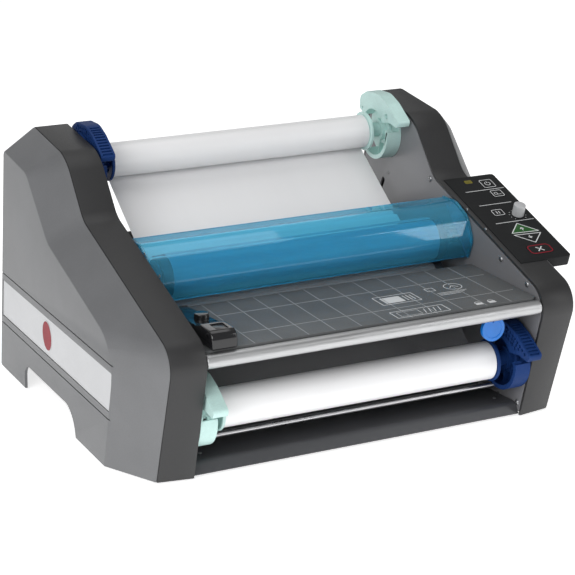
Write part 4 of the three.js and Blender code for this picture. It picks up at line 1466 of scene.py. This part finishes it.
@dataclass
class FeedTable:
    """The table with its printed lines, front bar, edge guide and finger latch."""

    y: Pair = (-199.5, -72.0)
    half: float = 183.5
    sheet: float = 2.5
    ink: float = 0.06
    line: float = 0.75
    columns_from: float = -130.0
    column_pitch: float = 28.4
    columns: int = 11
    rows_y: Pair = (-110.5, -167.0)
    guide_x: Pair = (-176.0, -149.5)
    guide_y: Pair = (-203.0, -80.0)
    guide_top: float = 157.0
    latch_at: tuple[float, float, float] = (141.0, -186.0, 123.0)
    latch_r: float = 13.0
    latch_drop: float = 15.0
    bar_r: float = 7.0
    padlocks: tuple[Pair, ...] = ((121.0, 25.0), (136.0, 0.0))

    def table(self) -> None:
        """The table plate with its two lips and the latch's lugs."""
        low = TABLE_Z - self.sheet
        corners = ((-self.half, self.y[0], 5), (self.half, self.y[0], 5),
                   (self.half, self.y[1], 2), (-self.half, self.y[1], 2))
        plate = raised(corners, (low, TABLE_Z))
        for y in (self.y[0] + 3, self.y[1] - SHEET):
            plate = plate.plus(block((-172, 172), (y, y + SHEET), (low - 6.7, low + 0.8)))
        x, y, z = self.latch_at
        for start in (x - 10, x + 7):
            plate = plate.plus(block((start, start + 3), (y - 5, y + 5), (z - 2.5, low + 0.8)))
        plate = plate.plus(rod(2, (x - 9, x + 9), (y, z), 0, 24))
        deliver(plate, "feed_table_look", "table", Finish.SLATE, ("feed_table",), 0.4)

    def print_lines(self) -> None:
        """The printed grid, two plain boxes and the two padlock marks."""
        z = (TABLE_Z + 0.005, TABLE_Z + self.ink)
        ink = Shape()
        last = self.columns_from + (self.columns - 1) * self.column_pitch
        for i in range(self.columns):
            x = self.columns_from + i * self.column_pitch
            ink.add(line_strip((x, self.y[0] + 0.5), (x, self.y[1] - 1), self.line, z))
        for y in self.rows_y:
            ink.add(line_strip((self.columns_from, y), (last + 22, y), self.line * 1.25, z))
        deliver(ink, "table_lines", "table", Finish.PRINT)
        boxes = Shape()
        for x, y in (((32, 77), (-155, -129)), ((26, 86), (-196, -176))):
            boxes.add(frame_strip(rectangle(x, y, 1.5), 1.0, (z[0] + 0.05, z[1] + 0.05)))
        boxes.add(raised(rectangle((38, 60), (-151, -134), 1), z))
        for x in (64, 68, 72):
            boxes.add(line_strip((x, -150), (x, -135), 1.1, z))
        boxes.add(frame_strip(rectangle((32, 56), (-192.5, -179.5), 0.8), 0.5, z))
        for k in range(4):
            boxes.add(line_strip((60 + k * 5.5, -192), (63 + k * 5.5, -180), 0.9, z))
        for x, tilt in self.padlocks:
            boxes.add(self._padlock(x, -191, tilt, z))
        for start in (0, 180):
            boxes.add(arc_strip((126, -131), 9.5, start, start + 180, 0.9, z))
        boxes.add(line_strip((121, -134), (126, -127.5), 0.9, z))
        boxes.add(line_strip((131, -134), (126, -127.5), 0.9, z))
        boxes.add(
            frame_strip(((94, -136, 1), (104, -136, 1), (104, -126, 1), (94, -126, 1)), 0.8, z)
        )
        for k, length in enumerate((34, 30, 24)):
            boxes.add(line_strip((100, -145 - 3.2 * k), (100 + length, -145 - 3.2 * k), 0.9, z))
        deliver(boxes, "table_marks", "table", Finish.PRINT_WHITE)

    def _padlock(self, x: float, y: float, tilt: float, z: Pair) -> Shape:
        """A printed padlock, its bow turned out by a tilt."""
        mark = raised(rectangle((x - 4, x + 4), (y - 3, y + 2.5), 0.6), z)
        bow = arc_strip((x, y + 2.8), 3.0, 0, 180, 0.9, z)
        turn = Matrix.Translation((x, y + 2.8, 0)) @ Matrix.Rotation(math.radians(tilt), 4, "Z")
        return mark.add(bow.moved(turn @ Matrix.Translation((-x, -y - 2.8, 0))))

    def front_bar(self) -> None:
        """The satin round bar in front of the table."""
        bar = rod(self.bar_r, (-self.half, self.half), FRONT_BAR_YZ, 0.7, 72)
        deliver(bar, "front_bar_look", "table", Finish.ALUMINIUM, ("front_bar",))
        holders = Shape()
        for x in (-168, 168):
            holders.add(block((x - 6, x + 6), (-202, -194), (128, 137), 0.5))
        deliver(holders, "bar_holders", "table", Finish.DARK_SHEET)

    def guide(self) -> None:
        """The sliding edge guide: front block, clamp knob, sloping body and rear fin."""
        y0, y1 = self.guide_y
        z0, z1 = TABLE_Z + GAP, self.guide_top
        x0, x1 = self.guide_x
        body = prism(
            (
                (y0, z0, 2), (y1, z0, 0), (y1, z0 + 5, 2), (y0 + 40, z1 - 4, 12), (y0 + 29, z1, 5),
                (y0, z1, 9)
            ),
            (x0, x1), 10,
        ).rounded(2.6, 4, 35)
        body = body.plus(block((x0 + 3, x0 + 6), (y1 - 40, y1), (z0, z1 - 3), 1.2, 3))
        body.minus(block((x0 + 8, x1 - 5), (y0 + 9, y0 + 25), (z1 - 1.4, z1 + 2), 0.6))
        body.minus(block((x0 - 1, x1 + 1), (y0 + 44, y0 + 45.4), (z0 + 6, z1)))
        deliver(body, "edge_guide_look", "guide", Finish.GLOSS_BLACK, ("edge_guide",), 0.4)
        pad = block((x0 + 8.4, x1 - 5.4), (y0 + 9.4, y0 + 24.6), (z1 - 1.6, z1 - 0.9), 0.3)
        deliver(pad, "guide_pad", "guide", Finish.INLET)
        at = (x1 - 10, y0 + 62)
        clamp = post(8.0, at, (z0 + 6, z1 - 1), 48, 7.2).rounded(0.8, 3, 60)
        grip = Shape()
        for k in range(12):
            grip.add(post(1.1, polar(at, 8.2, 30 * k), (z0 + 7, z1 + 1), 12))
        deliver(clamp.minus(grip), "guide_clamp", "guide", Finish.GLOSS_BLACK, (), 0.3)

    def latch(self) -> None:
        """The round finger tab, notched at the top."""
        x, y, z = self.latch_at
        middle = z - self.latch_drop
        disc = Shape()
        bmesh.ops.create_cone(
            disc.bm, cap_ends=True, segments=64, radius1=self.latch_r, radius2=self.latch_r,
            depth=4.0,
        )
        disc.moved(Matrix.Translation((x, y, middle)) @ Matrix.Rotation(math.radians(90), 4, "X"))
        dish = Shape()
        bmesh.ops.create_cone(
            dish.bm, cap_ends=True, segments=64, radius1=self.latch_r - 3.6,
            radius2=self.latch_r - 2.4, depth=2.0,
        )
        dish.moved(
            Matrix.Translation((x, y - 2.4, middle)) @ Matrix.Rotation(math.radians(90), 4, "X")
        )
        knuckle = rod(4, (x - 6, x + 6), (y, z), 0.4)
        body = disc.plus(knuckle)
        notch = raised(((-5, 0, 0), (0, -8.5, 0.8), (5, 0, 0)), (-4, 4))
        notch.moved(
            Matrix.Translation(
                (x, y - 4, middle + self.latch_r + 1.5)
            ) @ Matrix.Rotation(math.radians(90), 4, "X")
        )
        body.minus(dish.add(notch)).minus(rod(2 + GAP, (x - 20, x + 20), (y, z), 0, 32))
        deliver(body, "table_latch_look", "latch", Finish.LATCH, ("table_latch",), 0.4)

    def build(self) -> None:
        """Builds the table and what is on it."""
        self.table()
        self.print_lines()
        self.front_bar()
        self.guide()
        self.latch()


# ---- Heat shield ----


@dataclass
class HeatShield:
    """The clear blue shield over the rollers, with its end caps and hinge pins."""

    path: tuple[Corner, ...] = (
        (-68.7, 145.6, 0), (-77.6, 166, 16), (-65.5, 190.5, 16), (-40, 201.2, 30), (-14, 200, 0)
    )
    sheet: float = 2.5
    half: float = 183.0
    pin_at: Pair = (-24.0, 192.0)
    pin_r: float = 3.0

    def build(self) -> None:
        """Builds the shield as one moulding and its small parts."""
        shell = bent_sheet(self.path, self.sheet, (-self.half, self.half), 14)
        caps = Shape()
        for side in Side:
            cap = prism(self.path, (self.half - self.sheet, self.half - 0.02), 14)
            caps.add(cap.on_side(side))
        shell = shell.plus(caps)
        deliver(shell, "heat_shield_look", "shield", Finish.SHIELD, ("heat_shield",), 0.5)
        pins = Shape()
        for side in Side:
            pins.add(
                rod(
                    self.pin_r, (self.half - 1, PLATE_X + SHEET + 2), self.pin_at, 0.5
                ).on_side(side)
            )
        deliver(pins, "shield_pins", "shield", Finish.STEEL)


# ---- Rollers and drive ----


@dataclass
class Rollers:
    """The two heated and the two pull rollers, with the gear train."""

    half: float = 165.0
    shaft_end: float = 198.0
    heat_r: float = 21.5
    pull_r: float = 15.5
    heat_y: float = -36.0
    pull_y: float = 98.723

    def _roller(
        self, name: str, body: str, radius: float, shaft: float, at: Pair, finish: Finish
    ) -> None:
        """One roller: cover, steel end rings and shaft."""
        cover = turned([(shaft + 2, -self.half + 1.5), (radius - 0.8, -self.half + 1.5),
        (radius, -self.half + 2.3),
                        (radius, self.half - 2.3), (radius - 0.8, self.half - 1.5),
                        (shaft + 2, self.half - 1.5)], at)
        deliver(cover, name + "_look", body, finish, (name,))
        core = turned([(0, -self.shaft_end), (shaft - 0.6, -self.shaft_end),
        (shaft, -self.shaft_end + 0.6),
                       (shaft, -self.half), (radius - 3, -self.half), (radius - 3, -self.half + 2),
                       (
                           shaft + 2.2, -self.half + 2
                       ), (shaft + 2.2, self.half - 2), (radius - 3, self.half - 2),
                       (radius - 3, self.half), (shaft, self.half), (shaft, self.shaft_end - 0.6),
                       (shaft - 0.6, self.shaft_end), (0, self.shaft_end)], at)
        deliver(core, name + "_core", body, Finish.STEEL)

    def build(self) -> None:
        """Builds the rollers and dresses the gears."""
        for level, sign in (("upper", 1), ("lower", -1)):
            heat = (self.heat_y, TABLE_Z + sign * 22.5)
            pull = (self.pull_y, TABLE_Z + sign * 16.5)
            self._roller(
                level + "_heat_roller", level + "_heat", self.heat_r, 8.0, heat, Finish.SILICONE
            )
            self._roller(
                level + "_pull_roller", level + "_pull", self.pull_r, 6.0, pull, Finish.PULL
            )
            dress(level + "_heat_gear", Finish.GEAR)
            dress(level + "_pull_gear", Finish.GEAR)
        dress("idler_gear", Finish.GEAR)
        dress("motor_pinion", Finish.STEEL)
        dress("drive_motor", Finish.STEEL)


# ---- Film rolls and their ends ----


class WingStyle(Enum):
    """The two mouldings of a locking lever."""

    SMOOTH = "smooth"
    RIBBED = "ribbed"


@dataclass
class RollEnd:
    """One end of a film roll: chuck in the core, saddle on the side plate, locking lever."""

    level: Level
    side: Side
    at: Pair
    finish: Finish
    style: WingStyle
    saddle_r: float = 33.0
    saddle_x: Pair = (166.5, 184.2)
    tub_arc: Pair = (175.0, 305.0)
    journal_r: float = 12.0
    shaft_r: float = 8.0
    lever_x: Pair = (166.0, 181.4)
    inner_r: float = 24.0
    flange_r: float = 21.8
    core_r: float = 12.7

    @property
    def name(self) -> str:
        """The start of this end's node names."""
        return f"{self.level.value}_{self.side.word}"

    def _point(self, y: float, z: float) -> Pair:
        """A point given from the roll's axis."""
        return (self.at[0] + y, self.at[1] + z)

    def chuck(self) -> None:
        """The flanged plug in the film core."""
        x = FILM_HALF
        profile = [
            (0, x - 24), (self.core_r - 2, x - 24), (self.core_r - GAP, x - 20), (
                self.core_r - GAP, x + GAP
            ),
            (self.flange_r - 0.5, x + GAP), (self.flange_r, x + 0.8), (self.flange_r, x + 3.2),
            (
                self.flange_r - 0.7, x + 3.8
            ), (self.flange_r - 3, x + 3.8), (self.flange_r - 3.4, x + 2.9),
            (self.shaft_r + 3, x + 2.9), (self.shaft_r + 1.4, x + 3.6), (self.shaft_r, x + 5.5),
            (self.shaft_r, 177.4), (self.shaft_r - 0.6, 178), (0, 178),
        ]
        plug = turned(profile, self.at, 72)
        slots = Shape()
        for k in range(6):
            start = polar(self.at, 11.4, 60 * k)
            slots.add(rod(2.2, (x + 1.6, x + 5), start, 0, 16))
        plug.minus(slots)
        body = f"{self.level.value}_film"
        deliver(
            plug.on_side(self.side), self.name + "_chuck_look", body, self.finish,
            (self.name + "_chuck",), 0.25
        )

    def saddle(self) -> None:
        """The end wall, the half-drum tub with its ribs and catch, and the journal."""
        x0, x1 = self.saddle_x
        start, end = self.tub_arc
        wall = turned(
            [
                (0, x1 - 2.4), (self.saddle_r - 0.6, x1 - 2.4), (self.saddle_r, x1 - 1.8),
                (self.saddle_r, x1), (0, x1)
            ],
            self.at, 96
        )
        steps = 30
        shell = arc(self.at, self.saddle_r, start, end, steps) + arc(
            self.at, self.saddle_r - 3, end, start, steps
        )
        tub = prism(plain(shell), (x0, x1 - 1))
        rim = arc(self.at, self.saddle_r, start, end, steps) + arc(
            self.at, self.saddle_r - 4.6, end, start, steps
        )
        tub = tub.plus(prism(plain(rim), (x0, x0 + 2)))
        body = wall.plus(tub)
        body = body.plus(tube(self.journal_r, self.shaft_r + GAP, (172, x1 - 1), self.at))
        for degrees in (200, 240, 280):
            inner, outer = self.journal_r - 0.5, self.saddle_r - 1.5
            rib = block((x1 - 8, x1 - 2), (inner, outer), (-1, 1))
            turn = Matrix.Rotation(math.radians(degrees), 4, "X")
            body = body.plus(rib.moved(Matrix.Translation((0, *self.at)) @ turn))
        deliver(
            body.on_side(self.side), self.name + "_saddle_look", "root", self.finish,
            (self.name + "_saddle",), 0.4
        )
        self._catch()

    def _catch(self) -> None:
        """The small sprung catch above the tub's front edge."""
        y, z = self._point(-27, -1.5)
        x0, x1 = self.saddle_x[0] + 1.5, self.saddle_x[0] + 9
        hook = prism(((y - 4.2, z - 3, 1), (y - 4.2, z + 2.2, 1.5), (y - 0.5, z + 6.5, 1),
        (y + 3.6, z + 4.6, 1),
                      (y + 1, z + 1.4, 0.8), (y + 1.2, z - 3, 0.8)), (x0, x1), 4)
        deliver(hook.on_side(self.side), self.name + "_catch", "root", self.finish, (), 0.35)

    def _wing(self) -> list[Corner]:
        """The wing's side view."""
        inner = arc(self.at, self.inner_r, 148, 35, 24)
        crest = [(*self._point(31.5, 19), 2.0), (*self._point(31.5, 33), 10.0),
        (*self._point(14, 42.0), 14.0),
                 (*self._point(-13, 43.0), 26.0), (*self._point(-32, 36), 20.0),
                 (*self._point(-57.6, 20), 3.4), (*self._point(-54.5, 13), 2.2),
                 (*self._point(-38, 15.5), 3.0)]
        return plain(inner) + crest

    def lever(self) -> None:
        """The locking lever, smooth or ribbed."""
        x0, x1 = self.lever_x
        wing = prism(self._wing(), self.lever_x, 8)
        web_x = (x1 - 4, x1)
        sector = arc(self.at, self.inner_r + 2, 35, 148, 20) + [
            polar(self.at, 10, 150), polar(self.at, 10, 33)
        ]
        body = wing.plus(prism(plain(sector), web_x))
        body = body.plus(rod(self.journal_r + 4.5, web_x, self.at, 0.5, 64))
        body.minus(rod(self.journal_r + GAP, (x0, x1 + 1), self.at, 0, 64))
        tools = self._ribbing() if self.style is WingStyle.RIBBED else self._dishing()
        body.minus(tools)
        name = self.name + "_lever"
        deliver(body.on_side(self.side), name + "_look", name, self.finish, (name,), 0.3)

    def _along(self, inwards: float, pitch: float) -> list[tuple[Pair, float]]:
        """Points at a pitch along the wing's crest, moved inwards, each with its heading."""
        crest = [
            self._point(*p) for p in ((29, 30), (14, 42), (-13, 43.4), (-32, 35.6), (-56, 21))
        ]
        made, left = [], pitch / 2
        for (ay, az), (by, bz) in zip(crest, crest[1:]):
            length = math.hypot(by - ay, bz - az)
            uy, uz = (by - ay) / length, (bz - az) / length
            while left < length:
                place = (ay + uy * left - uz * inwards, az + uz * left + uy * inwards)
                made.append((place, math.degrees(math.atan2(uz, uy))))
                left += pitch
            left -= length
        return made

    def _ribbing(self) -> Shape:
        """Tools for the ribbed style: grooves on the front crest, diamond pockets in both faces."""
        x0, x1 = self.lever_x
        tools = Shape()
        for (y, z), heading in self._along(0.0, 4.2):
            if y - self.at[0] > -16:
                continue
            groove = block((x0 + 2.2, x1 - 2.2), (-1.15, 1.15), (-1.5, 1.5))
            turn = Matrix.Rotation(math.radians(heading), 4, "X")
            tools.add(groove.moved(Matrix.Translation((0, y, z)) @ turn))
        for row, inwards in enumerate((5.2, 9.6, 14.0)):
            for (y, z), heading in self._along(inwards, 5.4)[row:]:
                if math.hypot(y - self.at[0], z - self.at[1]) < self.inner_r + 3.4:
                    continue
                if z - self.at[1] < 19.5:
                    continue
                turn = Matrix.Rotation(math.radians(heading + 45), 4, "X")
                for span in ((x0 - 1, x0 + 5), (x1 - 5, x1 + 1)):
                    pocket = block(span, (-1.5, 1.5), (-1.5, 1.5))
                    tools.add(pocket.moved(Matrix.Translation((0, y, z)) @ turn))
        return tools

    def _dishing(self) -> Shape:
        """Tools for the smooth style: a finger relief and a pin hole in the inner face."""
        x0 = self.lever_x[0]
        relief = rod(3.2, (x0 - 1, x0 + 5), self._point(-30, 21.5), 0, 32)
        pin = rod(1.4, (x0 - 1, x0 + 2), self._point(25, 21), 0, 20)
        return relief.add(pin)

    def build(self) -> None:
        """Builds the three parts of the end."""
        self.chuck()
        self.saddle()
        self.lever()


@dataclass
class Film:
    """Both film rolls with their ends, and the two webs."""

    upper_r: float = 18.3
    lower_r: float = 19.7
    core_r: float = 12.7

    def _roll(self, level: Level, at: Pair, radius: float, finish: Finish) -> None:
        """One roll of film on its core."""
        x = FILM_HALF
        wound = turned([(self.core_r, -x), (radius - 0.5, -x), (radius, -x + 0.5),
        (radius, x - 0.5),
                        (radius - 0.5, x), (self.core_r, x)], at, 128)
        name = level.value + "_film_roll"
        deliver(wound, name + "_look", level.value + "_film", finish, (name,))

    def build(self) -> None:
        """Builds the rolls, their ends and the webs."""
        self._roll(Level.UPPER, UPPER_ROLL_YZ, self.upper_r, Finish.UPPER_FILM)
        self._roll(Level.LOWER, LOWER_ROLL_YZ, self.lower_r, Finish.LOWER_FILM)
        for level, at in ((Level.UPPER, UPPER_ROLL_YZ), (Level.LOWER, LOWER_ROLL_YZ)):
            for side in Side:
                teal = (level is Level.UPPER) == (side is Side.RIGHT)
                finish = Finish.TEAL if teal else Finish.NAVY
                style = WingStyle.SMOOTH if teal else WingStyle.RIBBED
                RollEnd(level, side, at, finish, style).build()
        # Painted reflection: the upper web is dressed near-opaque white in place of the surround
        # that the clear film reflects.
        dress("upper_film_web", Finish.WEB_MILKY)
        dress("lower_film_web", Finish.WEB_CLEAR)


# ---- Control panel ----


@dataclass
class Key:
    """One key: its outline in the panel's plane and its finish."""

    name: str
    corners: tuple[Corner, ...]
    finish: Finish


def key_box(x0: float, x1: float, y0: float, y1: float, radius: float = 2.0) -> tuple[Corner, ...]:
    """A rectangular key's corners, from horizontal positions."""
    low, high = PanelPlace().up_slope(y0), PanelPlace().up_slope(y1)
    return ((x0, low, radius), (x0, high, radius), (x1, high, radius), (x1, low, radius))


def key_corners(points: Sequence[Pair]) -> tuple[Corner, ...]:
    """A key's corners with a small radius, from horizontal positions."""
    return tuple((x, PanelPlace().up_slope(y), 0.8) for x, y in points)


@dataclass
class Controls:
    """The panel with its keys, ready light, speed knob, printed marks and circuit board."""

    place: PanelPlace = field(default_factory=PanelPlace)
    key_top: float = 1.3
    plate: float = 3.0
    clearance: float = 0.35
    knob_at: Pair = (235.0, -80.0)
    knob_r: float = 6.5
    knob_top: float = 14.0
    ink: float = 0.08
    light: tuple[Corner, ...] = field(default_factory=lambda: key_box(210.5, 219.5, -14, -8, 1.5))
    keys: tuple[Key, ...] = field(default_factory=lambda: (
        Key("power_key", key_box(227, 242.5, -26, -11), Finish.PANEL),
        Key("film_key", key_box(228.5, 242.5, -44, -32), Finish.PANEL),
        Key("standby_key", key_box(209, 222.5, -77, -66), Finish.PANEL),
        Key("run_key", key_corners(((208, -110.6), (225, -93.5), (243, -112.2))), Finish.GREEN),
        Key("reverse_key", key_corners(((208, -113), (243, -114.6), (226, -131))), Finish.PANEL),
        Key("stop_key", key_box(210, 238, -149, -134, 5), Finish.PANEL),
    ))

    def _wells(self) -> Shape:
        """The openings for keys and light, a clearance wider than each."""
        wells = Shape()
        for corners in [key.corners for key in self.keys] + [self.light]:
            middle = [sum(c[i] for c in corners) / len(corners) for i in (0, 1)]
            grown = []
            for u, v, radius in corners:
                arm = math.hypot(u - middle[0], v - middle[1])
                share = 1 + self.clearance * 1.4 / arm
                grown.append(
                    (
                        middle[0] + (u - middle[0]) * share, middle[1] + (v - middle[1]) * share,
                        radius
                    )
                )
            wells.add(raised(grown, (self.place.top - self.plate - 1, self.place.top + 1)))
        u, v = self.knob_at[0], self.place.up_slope(self.knob_at[1])
        wells.add(post(3.4, (u, v), (self.place.top - self.plate - 1, self.place.top + 1)))
        return wells

    def _deliver(
        self, shape: Shape, name: str, body: str, finish: Finish, node: str = "", edge: float = 0.0
    ) -> None:
        """Carries a shape from the panel's plane to the slope and hands it on."""
        deliver(shape.moved(self.place.carry()), name, body, finish, (node,) if node else (), edge)

    def panel(self) -> None:
        """The hollow panel moulding."""
        x0, x1 = self.place.x
        reach, top, bottom = self.place.half_length, self.place.top, self.place.bottom
        body = raised(
            ((x0, -reach, 1), (x0, reach, 1), (x1, reach, 4), (x1, -reach, 4)), (bottom, top)
        )
        body.rounded(0.7, 3, 40)
        inside = block(
            (x0 + 2.5, x1 - 2.5), (2.5 - reach, reach - 2.5), (bottom + 2, top - self.plate)
        )
        body.minus(inside).minus(self._wells())
        self._deliver(body, "control_panel_look", "root", Finish.PANEL, "control_panel")

    def key_caps(self) -> None:
        """The six keys, their marks and the ready light."""
        under = self.place.top - self.plate - GAP
        marks = self._marks()
        for key in self.keys:
            cap = raised(key.corners, (under - 3, self.key_top)).rounded(0.25, 2, 50)
            self._deliver(cap, key.name + "_look", key.name, key.finish, key.name)
            for word, (shape, finish) in marks[key.name].items():
                self._deliver(shape, f"{key.name}_{word}", key.name, finish)
        lens = raised(self.light, (-6, self.key_top)).rounded(0.5, 3, 50)
        self._deliver(lens, "ready_light_look", "root", Finish.AMBER, "ready_light")

    def _marks(self) -> dict[str, dict[str, tuple[Shape, Finish]]]:
        """Printed marks of each key, by key name."""
        z = (self.key_top + 0.005, self.key_top + self.ink)
        slope = self.place.up_slope
        white, made = Finish.PRINT_WHITE, {}
        by_name = {key.name: key.corners for key in self.keys}
        for name, width in (
            ("power_key", 0.7), ("film_key", 0.7), ("standby_key", 0.7), ("reverse_key", 1.0)
        ):
            made[name] = {"mark": (frame_strip(self._shrunk(by_name[name], 0.3), width, z), white)}
        ring = (234.75, slope(-18.5))
        symbol = arc_strip(ring, 3.1, 125, 415, 0.75, z).add(
            line_strip((ring[0], ring[1] + 0.6), (ring[0], ring[1] + 4.2), 0.8, z)
        )
        made["power_key"]["symbol"] = (symbol, white)
        film = (235.5, slope(-38))
        wave = arc_strip((film[0] - 2, film[1]), 2.0, 0, 180, 0.6, z)
        wave.add(arc_strip((film[0] - 2, film[1]), 2.0, 180, 360, 0.6, z)).add(
            line_strip((film[0] - 2, film[1] - 2), (film[0] + 4, film[1] - 2), 0.6, z))
        made["film_key"]["symbol"] = (wave, white)
        rest = (215.75, slope(-71.5))
        bars = Shape()
        for dx in (-1.5, 1.5):
            bars.add(
                line_strip((rest[0] + dx, rest[1] - 2.4), (rest[0] + dx, rest[1] + 2.4), 0.9, z)
            )
        made["standby_key"]["symbol"] = (bars, white)
        made["run_key"] = {
            "mark": (
                frame_strip(self._shrunk(by_name["run_key"], 0.3), 1.0, z), Finish.PRINT_WHITE
            )
        }
        made["run_key"]["symbol"] = (self._arrow((225, slope(-105)), 1, z), white)
        made["reverse_key"]["symbol"] = (self._arrow((226, slope(-119)), -1, z), white)
        stop = frame_strip(self._shrunk(by_name["stop_key"], 0.4), 1.3, z, 6)
        made["stop_key"] = {"mark": (stop, Finish.RED)}
        centre = (224, slope(-141.5))
        strokes = Shape()
        for sign in (-1, 1):
            strokes.add(
                line_strip(
                    (centre[0] - 3.6, centre[1] - 3.6 * sign),
                    (centre[0] + 3.6, centre[1] + 3.6 * sign), 1.2, z
                )
            )
        made["stop_key"]["symbol"] = (strokes, white)
        return made

    def _shrunk(self, corners: Sequence[Corner], by: float) -> list[Corner]:
        """Corners drawn in towards their middle."""
        middle = [sum(c[i] for c in corners) / len(corners) for i in (0, 1)]
        made = []
        for u, v, radius in corners:
            share = 1 - by / math.hypot(u - middle[0], v - middle[1])
            made.append(
                (middle[0] + (u - middle[0]) * share, middle[1] + (v - middle[1]) * share, radius)
            )
        return made

    def _arrow(self, at: Pair, way: int, z: Pair) -> Shape:
        """A bent arrow up or down the slope."""
        u, v = at
        mark = line_strip((u, v - 2.6 * way), (u, v + 2.4 * way), 0.9, z)
        for side in (-1, 1):
            mark.add(line_strip((u + 2.2 * side, v + 0.2 * way), (u, v + 2.9 * way), 0.9, z))
        return mark

    def print_marks(self) -> None:
        """Dividers, the dial's ticks and plain label bars."""
        z = (self.place.top + 0.005, self.place.top + self.ink)
        slope = self.place.up_slope
        ink = Shape()
        for y, x0, x1 in ((-29, 201, 249), (-56, 202, 242), (-90, 202, 249)):
            ink.add(line_strip((x0, slope(y)), (x1, slope(y)), 0.8, z))
        u, v = self.knob_at[0], slope(self.knob_at[1])
        for k in range(10):
            angle = 225 - 30 * k
            ink.add(line_strip(polar((u, v), 8.4, angle), polar((u, v), 9.8, angle), 0.5, z))
        self._deliver(ink, "panel_lines", "root", Finish.PRINT_WHITE)

    def knob(self) -> None:
        """The speed knob, a plain cylinder with shallow flutes."""
        u, v = self.knob_at[0], self.place.up_slope(self.knob_at[1])
        top = self.knob_top
        cap = post(self.knob_r, (u, v), (self.place.top + 0.5, top), 96).rounded(0.5, 3, 60)
        flutes = Shape()
        for k in range(24):
            at = polar((u, v), self.knob_r + 0.32, 15 * k)
            flutes.add(post(0.62, at, (self.place.top + 0.4, top + 1), 12))
        cap.minus(flutes.add(block((u - 0.4, u + 0.4), (v + 1.2, v + 7), (top - 0.5, top + 1))))
        cap = cap.plus(post(3.0, (u, v), (-6.4, self.place.top + 1), 32))
        self._deliver(cap, "speed_knob_look", "knob", Finish.KNOB, "speed_knob", 0.15)

    def build(self) -> None:
        """Builds the panel and everything on it."""
        self.panel()
        self.key_caps()
        self.print_marks()
        self.knob()
        dress("circuit_board", Finish.CIRCUIT)


# ---- Studio ----


@dataclass
class Studio:
    """Camera, soft lights, a pale floor and a pale surround."""

    camera_at: tuple[float, float, float] = (-0.8517, -1.73555, 0.7457)
    camera_turn: tuple[float, float, float] = (72.03, 0.0, -26.13)
    lens: float = 120.13
    sensor: float = 36.0
    floor_half: float = 6.0

    def camera(self) -> None:
        """The fixed camera."""
        data = bpy.data.cameras.new("camera")
        data.lens = self.lens
        data.sensor_width = self.sensor
        data.clip_end = 50.0
        made = bpy.data.objects.new("camera", data)
        made.location = self.camera_at
        made.rotation_euler = [math.radians(a) for a in self.camera_turn]
        bpy.context.scene.collection.objects.link(made)
        bpy.context.scene.camera = made

    def floor(self) -> None:
        """The plain floor."""
        bm = bmesh.new()
        bmesh.ops.create_grid(bm, x_segments=1, y_segments=1, size=self.floor_half)
        mesh = bpy.data.meshes.new("floor")
        bm.to_mesh(mesh)
        bm.free()
        recipe = Recipe("floor_white")
        recipe.fix(Base_Color=(0.9, 0.9, 0.9, 1), Roughness=0.5, Specular_IOR_Level=0.2)
        recipe.fix(Emission_Color=(1, 1, 1, 1), Emission_Strength=0.75)
        mesh.materials.append(recipe.material)
        made = bpy.data.objects.new("floor", mesh)
        bpy.context.scene.collection.objects.link(made)

    def area(
        self, name: str, at: Sequence[float], aim: Sequence[float], size: Pair, power: float
    ) -> None:
        """A rectangular soft light.

        Args:
            name: its name.
            at: its place.
            aim: the point that it faces.
            size: width and height in metres.
            power: watts.
        """
        data = bpy.data.lights.new(name, "AREA")
        data.shape = "RECTANGLE"
        data.size, data.size_y = size
        data.energy = power
        made = bpy.data.objects.new(name, data)
        made.location = at
        made.rotation_euler = (Vector(aim) - Vector(at)).to_track_quat("-Z", "Y").to_euler()
        bpy.context.scene.collection.objects.link(made)

    def lights(self) -> None:
        """Left-front key, front-right strip, and weak overhead and rear lights."""
        self.area("key", (-1.6, -1.3, 1.25), (0, 0, 0.15), (1.6, 1.4), 28)
        self.area("front_right", (1.5, -1.7, 1.0), (0, 0, 0.15), (0.5, 1.5), 9)
        self.area("overhead", (0.0, 0.3, 1.9), (0, 0, 0.1), (1.6, 1.2), 7)
        self.area("rear_rim", (0.3, 2.2, 1.2), (0, 0, 0.2), (2.0, 0.9), 4)

    def surround(self) -> None:
        """A white background that lights the machine softly."""
        world = bpy.data.worlds.new("surround")
        world.use_nodes = True
        nodes, links = world.node_tree.nodes, world.node_tree.links
        seen = nodes["Background"]
        seen.inputs["Color"].default_value = (1, 1, 1, 1)
        seen.inputs["Strength"].default_value = 1.0
        soft = nodes.new("ShaderNodeBackground")
        soft.inputs["Color"].default_value = (1, 1, 1, 1)
        soft.inputs["Strength"].default_value = 0.28
        path = nodes.new("ShaderNodeLightPath")
        mix = nodes.new("ShaderNodeMixShader")
        links.new(path.outputs["Is Camera Ray"], mix.inputs[0])
        links.new(soft.outputs[0], mix.inputs[1])
        links.new(seen.outputs[0], mix.inputs[2])
        links.new(mix.outputs[0], nodes["World Output"].inputs["Surface"])
        bpy.context.scene.world = world

    def build(self) -> None:
        """Builds the studio."""
        self.camera()
        self.floor()
        self.lights()
        self.surround()
        bpy.context.scene.view_settings.view_transform = "Standard"


def main() -> None:
    """Builds every sub-assembly in order."""
    logging.basicConfig(level=logging.INFO, format="%(name)s: %(message)s")
    Studio().build()
    screws = Fasteners()
    for side in Side:
        Housing(side, screws).build()
    Chassis(screws).build()
    FeedTable().build()
    HeatShield().build()
    Rollers().build()
    Film().build()
    Controls().build()


if __name__ == "__main__":
    main()
